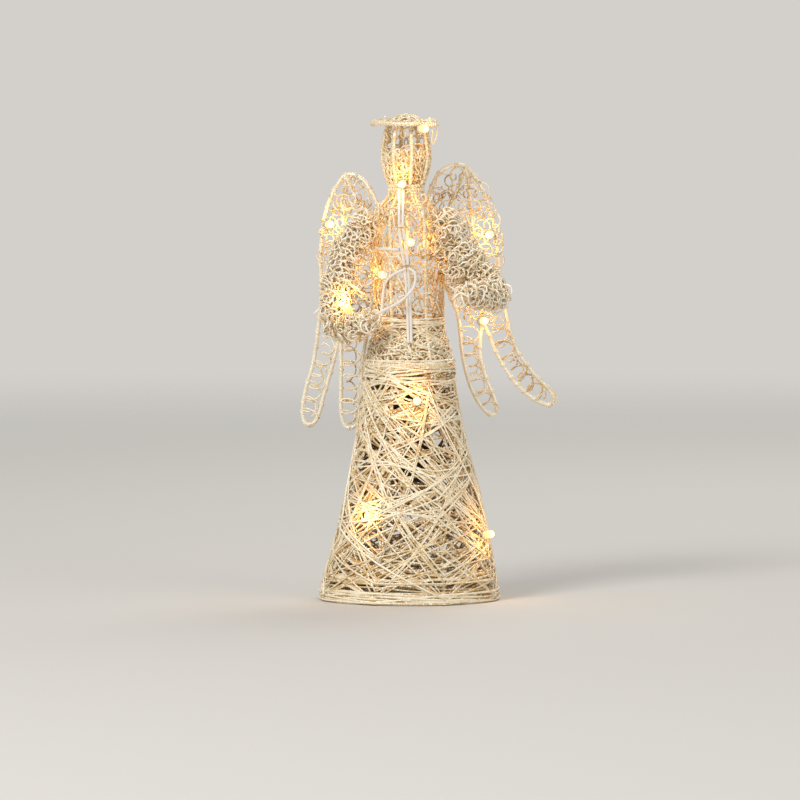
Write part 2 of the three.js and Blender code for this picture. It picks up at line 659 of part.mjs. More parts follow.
const haloPath = haloLace();
addPart('head_cage', headCage(), 'frame');
addForm('head_lace', headLace(), LACE_WIRE, LACE_SIDES, 'lace');
addPart('halo_ring', haloRing(), 'frame');
addForm('halo_lace', haloPath, LACE_WIRE, LACE_SIDES, 'lace');

// Wings: one closed outline each, two struts from the apex and two bars behind the rear bodice wires
const REAR_WIRE = (360 / BODICE_COUNT) * 2;
const WING_SEAT = bodicePoint(REAR_WIRE, BUST_HEIGHT).y + BODICE_WIRE / 2 + FIT + STRUT_WIRE / 2;
const WING_ROOT = -bodicePoint(REAR_WIRE, NARROW_HEIGHT).x;
const SIDES = { left: -1, right: 1 };

function rollWing(place) {
  return place.applyAxisAngle(vec(0, -1, 0), THREE.MathUtils.degToRad(WING_ROLL));
}

function wingPoint(side, [out, up]) {
  const back = (out - WING_ROOT) * Math.tan(THREE.MathUtils.degToRad(WING_SWEEP));
  return rollWing(vec(SIDES[side] * out, WING_SEAT + back, up)).add(vec(0, 0, WING_CENTRE));
}

// The way that a wing faces.
function wingFace(side) {
  const sweep = THREE.MathUtils.degToRad(WING_SWEEP);
  return rollWing(vec(SIDES[side] * Math.sin(sweep), -Math.cos(sweep), 0));
}

// A feather's two edges, out to its tip and back: a bowed middle line with a width that rounds off there.
function featherEdges({ root, tip, bow, width }) {
  const length = Math.hypot(tip[0] - root[0], tip[1] - root[1]);
  const along = [(tip[0] - root[0]) / length, (tip[1] - root[1]) / length];
  const outward = [-along[1], along[0]];
  const stations = [0.25, 0.58, 0.86];
  const edge = (t, side) => {
    const across = side * (width / 2) * Math.sqrt(1 - t ** 4) - bow * Math.sin(Math.PI * t);
    return [0, 1].map((k) => root[k] + along[k] * length * t + outward[k] * across);
  };
  return [...stations.map((t) => edge(t, 1)), tip, ...stations.reverse().map((t) => edge(t, -1))];
}

function wingOutline(side) {
  const { outer, notch, inner } = FEATHERS[side];
  return [...WING_LOBE, ...featherEdges(outer), notch, ...featherEdges(inner), ...WING_INNER];
}

function wingFrame(side) {
  const corners = wingOutline(side).map((place) => wingPoint(side, place));
  const outline = new THREE.CatmullRomCurve3(corners, true, 'centripetal');
  const strut = (from, to) => wire([wingPoint(side, from), wingPoint(side, to)], STRUT_WIRE, 1);
  return joined([
    new THREE.TubeGeometry(outline, 76, WING_WIRE / 2, WIRE_SIDES, true),
    strut(WING_APEX, FEATHERS[side].notch),
    strut(WING_APEX, WING_INNER[2]),
    ...[WING_INNER[1], WING_INNER[3]].map((place) => strut(place, [ROOT_REACH, place[1]])),
  ]);
}

// The lace runs down the lobe in front of the frame, from the upper edge to the inner one.
function wingLace(side) {
  const face = wingFace(side);
  const edge = WING_WIRE / 2 + FIT;
  const lift = edge + LACE_WIRE + WING_CURL_DEPTH;
  const raised = (place, height) => wingPoint(side, place).addScaledVector(face, height);
  const route = WING_SPINE.map((place) => raised(place, lift));
  const curve = new THREE.CatmullRomCurve3(route, false, 'centripetal');
  const curls = curlsAlong((t) => curve.getPointAt(t), () => face.clone(), WING_CURLS, WING_CURL_RADIUS,
    WING_CURL_DEPTH, 180, -SIDES[side]);
  const [top, foot] = [WING_LOBE[3], WING_INNER[0]];
  const head = [raised(top, edge), raised(top, lift - WING_CURL_DEPTH)];
  const tail = [raised(foot, lift + WING_CURL_DEPTH), raised(foot, edge)];
  return [...head, ...curls, ...tail];
}

// Arms: a wire from the side of the bodice to the cuff, with the sleeve coiled round it
const ARM_SEAT = (BODICE_WIRE + ARM_WIRE) / 2 + FIT;

function armPoints(side) {
  const { upper, elbow, cuff } = ARMS[side];
  const shoulder = bodicePoint(side === 'right' ? 0 : 180, ARM_HEIGHT, ARM_SEAT);
  return [shoulder, ...[upper, elbow, cuff].map(([x, y, rise]) => vec(x, y, ARM_HEIGHT + rise))];
}

function armCurve(side) {
  return new THREE.CatmullRomCurve3(armPoints(side), false, 'centripetal');
}

// The coil opens from the shoulder, and is drawn in where the arm bends.
function sleeve(side) {
  const arm = armCurve(side);
  const [shoulder, upper, elbow, cuff] = armPoints(side);
  const upperLength = shoulder.distanceTo(upper) + upper.distanceTo(elbow);
  const bend = upperLength / (upperLength + elbow.distanceTo(cuff));
  const [from, to] = SLEEVE_SPAN;
  const place = (t) => from + (to - from) * t;
  const radius = (t) => {
    const bent = Math.exp(-(((place(t) - bend) / SLEEVE_BEND) ** 2));
    return SLEEVE_RADIUS * Math.min(1, SLEEVE_OPENING + SLEEVE_FLARE * t) * (1 - SLEEVE_PINCH * bent);
  };
  const frame = (t) => {
    const along = arm.getTangentAt(place(t));
    const first = vec(0, 1, 0).cross(along).normalize();
    return [first, along.clone().cross(first)];
  };
  return coilRound((t) => arm.getPointAt(place(t)), frame, SLEEVE_CURLS, radius, ARM_WIRE);
}

const sleevePaths = { left: sleeve('left'), right: sleeve('right') };
for (const side of ['left', 'right']) {
  addPart(`wing_${side}_frame`, wingFrame(side), 'frame');
  addForm(`wing_${side}_lace`, wingLace(side), LACE_WIRE, LACE_SIDES, 'lace');
  addPart(`arm_${side}_wire`, wire(armPoints(side), ARM_WIRE, 14), 'frame');
  addForm(`sleeve_${side}_lace`, sleevePaths[side], LACE_WIRE, LACE_SIDES, 'lace');
}

// Lights: a collar and a domed lens, seated on what carries each one
const steepPlaces = steepStrokes.flatMap((stroke) => stroke.slice(1).flatMap((point, i) => (
  [0.2, 0.4, 0.6, 0.8].map((share) => stroke[i].clone().lerp(point, share))
)));

function nearest(places, target) {
  return places.reduce((best, place) => (
    place.distanceToSquared(target) < best.distanceToSquared(target) ? place : best
  ));
}

function lightBody() {
  const lens = LED_DIAMETER / 2;
  const straight = LED_LENGTH - lens;
  const dome = Math.PI / 5;
  return turned([[0, 0], [LED_COLLAR / 2, 0], [LED_COLLAR / 2, LED_COLLAR_LENGTH], [lens, LED_COLLAR_LENGTH],
    [lens, straight], [lens * Math.cos(dome), straight + lens * Math.sin(dome)], [0, LED_LENGTH]], 7);
}

function addLight(place, support, carrier, facing) {
  const mesh = addPart(`light_${place}`, lightBody(), 'light');
  mesh.position.copy(support).addScaledVector(facing, carrier / 2 + FIT);
  mesh.quaternion.setFromUnitVectors(vec(0, 0, 1), facing);
}

// A skirt light stands on a steep stroke of thread, square to the panel that the stroke crosses.
function addSkirtLight(place, [turn, depth]) {
  const support = nearest(steepPlaces, skirtPoint(FRONT + turn, WAIST_HEIGHT - depth, OUTER_LAYER));
  const degrees = THREE.MathUtils.radToDeg(Math.atan2(support.y, support.x));
  const rise = ((RIB_FOOT - RIB_HEAD) * Math.cos(THREE.MathUtils.degToRad(RIB_SPAN / 2))) / WAIST_HEIGHT;
  addLight(place, support, THREAD, polar(Math.round(degrees / RIB_SPAN) * RIB_SPAN, 1, rise).normalize());
}

function addWingLight(place, { side, spot, inward }) {
  const facing = wingFace(side).add(rollWing(vec(-SIDES[side] * inward, 0, 0))).normalize();
  addLight(place, wingPoint(side, spot), WING_WIRE, facing);
}

// The point of a coil that lies so many curls past its straight end.
function curlPoint(coil, curls) {
  return coil[1 + Math.round(curls * LACE_STEPS)];
}

function addSleeveLight(place) {
  const support = curlPoint(sleevePaths.left, SLEEVE_LIGHT_CURL);
  const arm = nearest(armCurve('left').getSpacedPoints(200), support);
  addLight(place, support, LACE_WIRE, support.clone().sub(arm).normalize());
}

function leadPoint([x, y, rise]) {
  return vec(x, y, WAIST_HEIGHT + rise);
}

const haloTurn = curlPoint(haloPath, HALO_LIGHT_CURL);
addLight('halo', haloTurn, LACE_WIRE, haloTurn.clone().sub(vec(HALO_SHIFT, 0, haloTurn.z)).normalize());
const neckFacing = polar(FRONT + NECK_LIGHT_ANGLE, 1, 0);
addLight('neck', vec(NECK_LEAN, 0, NECK_HEIGHT + CAGE_WIRE / 2).addScaledVector(neckFacing, COLLAR_RADIUS),
  CAGE_WIRE, neckFacing);
addLight('chest', leadPoint(LEADS.chest_lead_right[CHEST_LIGHT_POINT]), LEAD, vec(0, -1, 0));
addLight('bodice', bodicePoint(180, NARROW_HEIGHT + BODICE_LIGHT_RISE), BODICE_WIRE,
  polar(FRONT + BODICE_LIGHT_TURN, 1, 0));
for (const [place, light] of Object.entries(WING_LIGHTS)) addWingLight(place, light);
addSleeveLight('sleeve');
for (const [place, light] of Object.entries(SKIRT_LIGHTS)) addSkirtLight(place, light);

// Leads and the two ties that hold the chest leads together
for (const [name, route] of Object.entries(LEADS)) {
  addPart(name, wire(route.map(leadPoint), LEAD, 3 * (route.length - 1), THIN_SIDES), 'lead');
}

function chestTie(centre) {
  const across = LEAD_SPACING / 2 + LEAD / 2 + TIE_SLACK + TIE_WIRE / 2;
  const deep = LEAD / 2 + TIE_SLACK + TIE_WIRE / 2;
  const corners = Array.from({ length: 12 }, (_, i) => {
    const angle = (2 * Math.PI * i) / 12;
    return vec(across * Math.cos(angle), deep * Math.sin(angle), 0).add(centre);
  });
  return new THREE.TubeGeometry(new THREE.CatmullRomCurve3(corners, true), 14, TIE_WIRE / 2, 5, true);
}

TIES.forEach((place, i) => addPart(`chest_tie_${i + 1}`, chestTie(leadPoint(place)), 'tie'));

// Battery case: two cells side by side, a cover that slides down in side grooves and a slide switch
const INNER_WIDTH = 2 * CELL_DIAMETER + 3 * CELL_CLEARANCE;
const INNER_DEPTH = CELL_DIAMETER + 2 * CELL_CLEARANCE;
const INNER_LENGTH = CELL_LENGTH + SPRING_LENGTH + 2 * PLATE_THICKNESS + 5 * FIT;
const COVER_SLOT = COVER_THICKNESS + 2 * FIT;
const CELL_AXIS = (CELL_DIAMETER + CELL_CLEARANCE) / 2;
const CELL_Y = CASE_REAR - CASE_WALL - INNER_DEPTH / 2;
const COVER_Y = CASE_REAR - CASE_WALL - INNER_DEPTH;
const CASE_FRONT = COVER_Y - COVER_SLOT - COVER_LIP;
const INNER_BASE = CASE_BASE + SWITCH_BAY;
const INNER_TOP = INNER_BASE + INNER_LENGTH;
const CASE_TOP = INNER_TOP + CASE_WALL;
const BEYOND = 5;                // how far a cut runs past the face that it opens

// The hook rises inside the skirt thread, goes over the waist ring and turns down outside.
function caseHook() {
  const panel = (RIB_HEAD + INNER_LAYER) * Math.cos(THREE.MathUtils.degToRad(RIB_SPAN / 2));
  const inside = panel - THREAD / 2 - FIT;
  const outside = WAIST_RADIUS + WAIST_WIRE / 2 + FIT;
  const over = WAIST_HEIGHT + WAIST_WIRE / 2 + FIT;
  const root = CASE_REAR - CASE_WALL;
  const corners = [[root, INNER_TOP], [inside, INNER_TOP], [inside, over], [outside, over],
    [outside, over - HOOK_DROP], [outside + HOOK_THICKNESS, over - HOOK_DROP],
    [outside + HOOK_THICKNESS, over + HOOK_THICKNESS], [inside - HOOK_THICKNESS, over + HOOK_THICKNESS],
    [inside - HOOK_THICKNESS, CASE_TOP], [root, CASE_TOP]];
  const shape = new THREE.Shape(corners.map(([y, z]) => new THREE.Vector2(y, z)));
  const turn = new THREE.Matrix4().makeBasis(vec(0, 1, 0), vec(0, 0, 1), vec(1, 0, 0));
  return new THREE.ExtrudeGeometry(shape, { depth: HOOK_WIDTH, bevelEnabled: false })
    .applyMatrix4(turn)
    .translate(-HOOK_WIDTH / 2, 0, 0);
}

function batteryCase() {
  const half = INNER_WIDTH / 2;
  const outer = half + CASE_WALL;
  const [switchX, switchY, switchZ] = SWITCH_SIZE;
  const pocketX = switchX / 2 + SWITCH_TRAVEL / 2 + FIT;
  const pocketY = switchY / 2 + FIT;
  const shell = joined([block([-outer, CASE_FRONT, CASE_BASE], [outer, CASE_REAR, CASE_TOP]), caseHook()]);
  return cut(shell, [
    block([-half, CASE_FRONT - BEYOND, INNER_BASE], [half, CASE_REAR - CASE_WALL, INNER_TOP]),
    block([-half - COVER_GROOVE, COVER_Y - COVER_SLOT, CASE_BASE - BEYOND],
      [half + COVER_GROOVE, COVER_Y, INNER_TOP]),
    block([-half, CASE_FRONT - BEYOND, CASE_BASE - BEYOND], [half, COVER_Y, INNER_TOP]),
    block([-pocketX, CELL_Y - pocketY, CASE_BASE - BEYOND],
      [pocketX, CELL_Y + pocketY, CASE_BASE + switchZ - SWITCH_PROUD + FIT]),
  ]);
}

// A flat plate in the grooves with thumb ridges near its lower end.
function batteryCover() {
  const half = INNER_WIDTH / 2 + COVER_GROOVE - FIT;
  const face = COVER_Y - FIT - COVER_THICKNESS;
  const plate = block([-half, face, CASE_BASE], [half, COVER_Y - FIT, INNER_TOP - FIT]);
  const ridges = Array.from({ length: RIDGE_COUNT }, (_, i) => {
    const z = CASE_BASE + RIDGE_SPACING * (i + 1);
    return block([-RIDGE_LENGTH / 2, face - RIDGE_HEIGHT, z],
      [RIDGE_LENGTH / 2, face + FIT, z + RIDGE_HEIGHT]);
  });
  return joined([plate, ...ridges]);
}

function switchSlider() {
  const [x, y, z] = SWITCH_SIZE;
  const base = CASE_BASE - SWITCH_PROUD;
  const middle = -SWITCH_TRAVEL / 2;
  return block([middle - x / 2, CELL_Y - y / 2, base], [middle + x / 2, CELL_Y + y / 2, base + z]);
}

function cellBody() {
  const radius = CELL_DIAMETER / 2;
  const shoulder = CELL_LENGTH - CELL_BUTTON_LENGTH;
  const edge = radius - CELL_EDGE;
  return turned([[0, 0], [edge, 0], [radius, CELL_EDGE], [radius, shoulder - CELL_EDGE], [edge, shoulder],
    [CELL_BUTTON / 2, shoulder], [CELL_BUTTON / 2, CELL_LENGTH], [0, CELL_LENGTH]], 12);
}

function cellSpring(x, low, high) {
  const total = SPRING_TURNS * LACE_STEPS;
  const rise = high - low - SPRING_WIRE;
  const foot = low + SPRING_WIRE / 2;
  return Array.from({ length: total + 1 }, (_, i) => (
    polar((360 * i) / LACE_STEPS, SPRING_RADIUS, foot + (rise * i) / total).add(vec(x, CELL_Y, 0))
  ));
}

const bridgeTop = INNER_TOP - FIT;
const bridgeBase = bridgeTop - PLATE_THICKNESS;
const plateTop = INNER_BASE + FIT + PLATE_THICKNESS;
const plateHalf = CELL_DIAMETER / 2 - CELL_CLEARANCE;
const bridgeHalf = CELL_AXIS + plateHalf;
const upCellBase = bridgeBase - FIT - CELL_LENGTH;
const downCellTop = bridgeBase - 2 * FIT - SPRING_LENGTH;

addPart('battery_case', batteryCase(), 'housing');
addPart('battery_cover', batteryCover(), 'housing');
addPart('switch_slider', switchSlider(), 'lead');
addPart('cell_left', cellBody(), 'cell').position.set(-CELL_AXIS, CELL_Y, upCellBase);
const downCell = addPart('cell_right', cellBody(), 'cell');
downCell.position.set(CELL_AXIS, CELL_Y, downCellTop);
downCell.rotation.x = Math.PI;
const springs = {
  cell_spring_left: cellSpring(-CELL_AXIS, INNER_BASE + FIT, upCellBase - FIT),
  cell_spring_right: cellSpring(CELL_AXIS, downCellTop + FIT, bridgeBase - FIT),
};
for (const [name, coil] of Object.entries(springs)) addForm(name, coil, SPRING_WIRE, LACE_SIDES, 'steel');
addPart('bridge_plate', block([-bridgeHalf, CELL_Y - plateHalf, bridgeBase],
  [bridgeHalf, CELL_Y + plateHalf, bridgeTop]), 'steel');
addPart('positive_plate', block([CELL_AXIS - plateHalf, CELL_Y - plateHalf, INNER_BASE + FIT],
  [CELL_AXIS + plateHalf, CELL_Y + plateHalf, plateTop]), 'steel');

export default angel;
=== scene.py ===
import math

import bpy
import numpy as np
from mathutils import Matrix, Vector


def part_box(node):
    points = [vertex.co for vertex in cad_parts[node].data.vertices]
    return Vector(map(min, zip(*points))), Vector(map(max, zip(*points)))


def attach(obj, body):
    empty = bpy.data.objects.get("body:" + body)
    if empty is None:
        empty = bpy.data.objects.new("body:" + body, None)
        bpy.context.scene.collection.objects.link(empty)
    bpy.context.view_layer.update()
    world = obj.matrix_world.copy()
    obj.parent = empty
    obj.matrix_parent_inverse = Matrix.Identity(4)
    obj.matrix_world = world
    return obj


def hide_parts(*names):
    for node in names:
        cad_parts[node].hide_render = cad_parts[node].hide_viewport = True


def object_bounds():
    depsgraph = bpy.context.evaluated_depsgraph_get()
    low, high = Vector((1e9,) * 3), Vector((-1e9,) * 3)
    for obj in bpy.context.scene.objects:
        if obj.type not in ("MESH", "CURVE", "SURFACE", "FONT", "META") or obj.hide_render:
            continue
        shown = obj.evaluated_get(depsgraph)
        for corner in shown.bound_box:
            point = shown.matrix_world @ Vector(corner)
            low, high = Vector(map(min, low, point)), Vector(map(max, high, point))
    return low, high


# A lighted wire angel: plated wire wound with glitter thread, curled lace wire and warm white lamps.
# Sizes are in millimetres and the angel faces -Y. Wires and threads are given by their diameters.
# Meshes are made in metres.
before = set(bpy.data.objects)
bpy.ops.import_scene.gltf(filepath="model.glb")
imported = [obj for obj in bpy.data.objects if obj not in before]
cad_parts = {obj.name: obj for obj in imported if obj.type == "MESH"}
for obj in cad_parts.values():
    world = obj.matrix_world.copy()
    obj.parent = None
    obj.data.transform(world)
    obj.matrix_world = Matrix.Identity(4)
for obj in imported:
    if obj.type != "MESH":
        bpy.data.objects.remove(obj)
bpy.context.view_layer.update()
MM = 0.001


def span(node):
    """Lowest and highest corner of a CAD node, in millimetres."""
    low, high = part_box(node)
    return np.array(low) / MM, np.array(high) / MM


# View: the photograph's scale at the angel, and the camera that gives it
PHOTO_PIXELS = 800
PHOTO_SCALE = 0.617              # millimetres to a pixel
VIEW_CENTRE = (-5.6, 0, 122.8)
CAMERA_DISTANCE = 3400
CAMERA_PITCH = 2.9               # degrees down
SENSOR = 36

# Directions, and how finely round pieces are drawn
FRONT = -90                      # the angle that faces the viewer, in degrees from +X
UP = np.array([0.0, 0.0, 1.0])
ACROSS = np.array([1.0, 0.0, 0.0])
TINY = 1e-9                      # least length to divide by
STEEP = 0.9                      # how far up an axis may point before UP stops being a guide to it
CURVE_STEPS = 24                 # between two points of a smooth curve
PROFILE_STEPS = 120
RING_STEPS = 96
SMALL_RING_STEPS = 64
WINDING_STEPS = 8                # in each turn of a thread round a wire
SPIRAL_STEPS = 60                # in each turn of a spiral
FINE_SIDES = 12                  # of the hem, the halo, the wings' wires and the leads
WIRE_SIDES = 10                  # of the other wires and the ties
THREAD_SIDES = 6                 # of thread and loose ends
LACE_SIDES = 5                   # of lace and of the thin thread round wires
TURNED_SIDES = 24

# Thread and lace wire, and the tone of each: 0 is the darkest film and 1 the palest
THREAD = 1.15
BINDING = 0.68                   # thin thread round the frame's wires
BINDING_OFF = 0.1                # from the wire's surface to the middle of that thread
BINDING_PITCH = 3.4
CLOSE_PITCH = 1.5                # at the hem and the waist
RING_PITCH = 2                   # at the collar and the neck
BINDING_TONE = 0.8
SMOOTH_TONE = 0.95               # of the wings' wires and bindings
LACE_WIRE = 1.1
SLEEVE_WIRE = 1.1
OPEN_LACE_WIRE = 0.95            # in the wings, the bodice and at the shoulders
LEAST_LOOPS = 2
LEAN_WANDER = 1.5                # radians by which a loop's lean changes
LOOP_PAINTED_LIGHT = 0.7                  # painted light and shade: how much paler a wide loop is, and darker a narrow one
LOOSE_TONE = 0.8                 # of loose ends
LOOSE_SIDE = [0, 1.0, 0.1]       # a direction that no loose end runs along
KNOT_GAP = (6, 13)               # least and most between bindings
KNOT_LENGTH = 2.4
KNOT_PITCH = 0.8
KNOT_THREAD = 0.8
KNOT_OFF = 0.2                   # from the wire's surface to the middle of a binding's thread
KNOT_STEP = 0.4

# Skirt frame
HEM_RADIUS = 54.3
HEM_HEIGHT = 1.2
HEM_CORE = 2.4                   # the wire inside the hem's thread
HEM_CORE_HEIGHT = 1.45
HEM_THREAD = 0.9
HEM_WRAP_RADIUS = 1.25           # from the middle of the hem to the middle of its thread
HEM_TONE = 0.7
HEM_STEPS = 128
RIB_COUNT = 8
RIB_STEP = 360 / RIB_COUNT
RIB_WIRE = 2.2
RIB_STEPS = 40
SKIRT_PROFILE = [(55.4, 0), (54.4, 8), (48.8, 31), (40.4, 67), (33.9, 95), (29.2, 123), (27, 147)]
SKIRT_SWAY = 2                   # how far the middle of the skirt stands to the right
SWAY_HEIGHT = 123                # above this the skirt stands straight
PANEL_FLAT = 0.3                 # share of the way from round to flat between ribs
WAIST_RADIUS = 26.6
WAIST_WIRE = 2.4
WAIST_HEIGHT = float(np.mean([corner[2] for corner in span("waist_ring")]))

# Skirt thread: climbs and drifts are from rib to rib, layers are distances from the ribs
SKIRT_LOW = 3.4
SKIRT_HIGH = WAIST_HEIGHT - 0.6
STRAND_STEPS = 4
LAYER_WANDER = 0.2
STRAND_WIDTHS = (0.85, 1.2)      # share of the thread's thickness
WIDTH_WANDER = 0.1
THREAD_PAIRS = 34
PAIR_RIBS = 17                   # ribs that each pair of threads passes
CLIMBS = [3, 12, 26, 48, 85]
CLIMB_SHARES = [0.2, 0.24, 0.24, 0.2, 0.12]
CLIMB_SPREAD = (0.7, 1.3)
CLIMB_KEPT = 0.6                 # share of the ribs where a pair climbs on as before
PAIR_SPREAD = 3
# Threads that lie under are painted darker as painted shade, and those over them paler as painted light
UNDER_LAYERS, UNDER_SHADE_TONES = (0, 0.9), (0, 0.7)
OVER_LAYERS, OVER_LIGHT_TONES = (0.8, 1.9), (0.4, 1)
WRAP_RIBS = 9
WRAP_TONES = (0, 1)
SKIRT_WRAPS = [                  # threads, lowest, highest, drift and layers
    (16, SKIRT_HIGH - 13, SKIRT_HIGH, 2.4, (0.2, 1.6)),
    (16, SKIRT_HIGH - 36, SKIRT_HIGH - 4, 5, (0, 1.2)),
    (12, SKIRT_HIGH - 62, SKIRT_HIGH - 16, 12, (0, 1)),
    (24, 0.8, 7.5, 2, (-0.3, 1.7)),
    (10, 5, 20, 2.5, (0.2, 1.2)),
]
FAN_THREADS = 9                  # from the foot of each rib
FAN_RISES = (8, 62)              # least and most at the first rib
FAN_SHAPE = np.array([0, 1, 1.9, 2.6])
FAN_LAYERS, FAN_TONES = (0.6, 1.8), (0.4, 1)

# Bodice and belt: heights from the waist ring
BODICE_COUNT = 6
BODICE_WIRE = 2
BODICE_STEPS = 60
BODICE_PROFILE = [(26.6, 1.5), (23.2, 13.4), (21, 25.4), (21.6, 76.4), (20.2, 91), (16, 97.4), (11.6, 101.6),
                  (10.4, 105.9)]
NARROW_HEIGHT = WAIST_HEIGHT + 25.4
COLLAR_RADIUS = 10
COLLAR_WIRE = 2
COLLAR_HEIGHT = WAIST_HEIGHT + 107
NECK_LEAN = -1.8                 # how far the neck stands to the right of the middle
BODICE_NETS = [                  # from and to above the narrow place, turns, start and loop
    (1, 70, 5, 0, 3.8), (4, 68, -4, 120, 4.4),
]
NET_OUT = -0.6                   # the net lies inside the wires
BODICE_CURL = dict(pitch=7, depth=1.2, rough=0.36, squash=0.85, wire=OPEN_LACE_WIRE)
YOKE_NETS = [(2, 0, -0.8), (-2, 60, -0.2)]   # turns, start and distance out
YOKE_FOOT = NARROW_HEIGHT + 64
YOKE_TOP = COLLAR_HEIGHT + 0.6
YOKE_CURL = dict(loop=2.8, pitch=5.2, depth=0.8, wire=OPEN_LACE_WIRE)
BODICE_THREADS = [(82, 105, 0.14, 12), (30, 74, 0.24, 12)]   # from, to, most of a turn and how many
BODICE_TURNS = (0.3, 1)          # share of that turn
BODICE_THREAD_OUT = 0.2
BODICE_THREAD_TONES = (0.4, 1)
BELT_CURLS = [                   # from, to, turns, start, distance out and loop
    (0.5, 10, 3, 0, -1.4, 2.1), (1, 13, -3, 70, -1, 2.5), (9, 23, 3, 40, -0.8, 2.3),
    (12, 22, -2, 10, -0.4, 2), (-0.4, 0.6, 1, 20, 0.4, 1.7),
]
BELT_CURL = dict(pitch=3.7, depth=0.8, rough=0.4, tumble=0.7)
BELT_BANDS = [                   # from, to, turns, distance out and tone
    # the first band lies inside and is painted dark, tone 0.1, as painted shade; the bands over it are paler
    (2.5, 24, 11, -0.9, 0.1), (23, 28.5, 5, 0.7, 0.8), (-1.2, 3, 4, 0.9, 0.8),
]
BAND_THREAD = 1.1
BAND_START = 30                  # degrees for each turn of the band
BAND_KNOTS = 6                   # places in each turn where the band's height changes
BAND_WANDER = 0.8
CROSS_THREADS = 44               # short threads that cross on the belt
CROSS_LOW, CROSS_HIGH = (7, 12), (22, 27)
CROSS_TURNS = (0.12, 0.3)
CROSS_OUT = 0.5
CROSS_TONES = (0.3, 1)

# Head and halo
NECK_HEIGHT = COLLAR_HEIGHT + 2.3
HEAD_PROFILE = [(10, 0), (13.5, 8.5), (15, 19.1), (12.6, 34), (6.9, 41.5), (0, 43.1)]
HEAD_STEPS = 50
CAGE_RIBS = 8
CAGE_START = 13                  # degrees from the front to the first rib
CAGE_WIRE = 2.3
HEAD_NETS = [                    # from and to above the neck ring, turns, start, loop and pitch
    (-1, 20, 6, 0, 1.9, 3), (0, 22, -5, 90, 2.2, 3.6), (20, 38, 1.7, 200, 3, 6.5),
]
HEAD_NET_OUT = -0.8
HEAD_CURL_DEPTH = 0.7
HALO_RADIUS = 19.3
HALO_WIRE = 2.2
HALO_HEIGHT = NECK_HEIGHT + 38.1
HALO_SHIFT = -2.5                # to the right
HALO_TILT = 1.5                  # degrees down to the right
HALO_THREAD = 0.8
HALO_PITCH = 2.2
HALO_TONE = 0.9
NUB_SWELL = 1.2                  # share by which the halo swells where its ends are twisted together
NUB_PLACE, NUB_REACH = 270, 22   # degrees from the front, and to each side of there
SPOKE_WIRE = 1.6
SPOKE_RIBS = (2, 4, 6)
SPOKE_OFF = 1.8                  # from the middle of the cage's wire to the end of a spoke
SPOKE_STEPS = 6
HALO_CURLS = [                   # from and to in degrees, radius, loop and depth
    (28, 110, 18, 2.0, 1.8), (110, 250, 17.5, 2.0, 1.4), (0, 350, 13.5, 2.2, 0.9), (-70, 20, 16.5, 1.6, 0.8),
]
HALO_CURL_STEPS = 90
HALO_CURL_PITCH = 3.8
HALO_CURL_RISE = 1.2
HALO_ENDS = [                    # from the halo's height: a hanging loop, ends that stand up and an arch
    [(17.4, -4, -1.4), (17.1, -5, -4.9), (16.3, -6, -9.2), (14.6, -6, -12.5), (13.9, -6.5, -10.6),
     (14.4, -6.5, -4.9), (13.7, -7, -3.1)],
    [(-16.2, -6, 0.6), (-15, -7, 2.2), (-14.6, -8, 4.6)],
    [(13.8, -8, 0.4), (12.8, -9, 2.4), (12.4, -9, 4.2)],
    [(-6.4, -8, 0.4), (-4.8, -8, 3), (-2.6, -8, 3.9), (2, -8, 2.7), (7.1, -8, 0)],
]
HALO_END_STEPS = 30

# Wings: distances out from the middle and up from the roll centre, angles in degrees
SIDES = {"left": -1, "right": 1}
WING_WIRE = 2.6
STRUT_WIRE = 1.9
WING_CENTRE = WAIST_HEIGHT + 62.4
WING_ROLL = 5
WING_SWEEP = 15
WING_SEAT = 21.1                 # how far behind the middle a wing starts
WING_ROOT = 10.5                 # how far out the sweep starts
ROOT_REACH = 8                   # how near the middle the root bars come
WING_LOBES = {
    "left": [(15.8, 35), (17, 39), (19.6, 45.5), (23.5, 52), (29, 56), (33.6, 56.8), (35.2, 56.2),
             (40.4, 50.6), (45.3, 43), (49, 34.6), (51.7, 25), (53.6, 14.6), (54.8, 5.2), (55.4, -7),
             (55.6, -13)],
    "right": [(15, 37), (17.8, 44.2), (22.4, 51.8), (28.8, 56), (35, 56.8), (40.4, 54.8), (45.2, 48.8),
              (48.8, 41), (51.4, 33), (53.6, 22.6), (54.9, 12.9), (55.4, 2.5), (55.6, -7.1), (55.7, -12.4)],
}
WING_APEXES = {"left": (34.8, 56.4), "right": (40.4, 54.8)}
WING_INNER = [(26.8, -33), (20.5, -14), (17.4, 10), (16, 26)]
FEATHERS = {
    "right": {
        "outer": {"root": (50.6, -45), "tip": (82.4, -97.2), "bow": 5.5, "width": 12.5},
        "notch": (42.6, -43.8),
        "inner": {"root": (33, -49.4), "tip": (44.4, -100), "bow": 3.2, "width": 11},
    },
    "left": {
        "outer": {"root": (54, -48.1), "tip": (71.6, -96.9), "bow": -1.3, "width": 12},
        "notch": (47, -44.5),
        "inner": {"root": (40.4, -49), "tip": (45.7, -100.6), "bow": 0.6, "width": 13},
    },
}
TIP_ROUND = 8                    # power that rounds off a feather's width at its tip
FEATHER_STATIONS = (0.25, 0.58, 0.84, 0.965)
OUTLINE_STEPS = 360
STRUT_STEPS = 40
FACE_PLACE = (30, 0)             # a place on the wing's face, which is flat

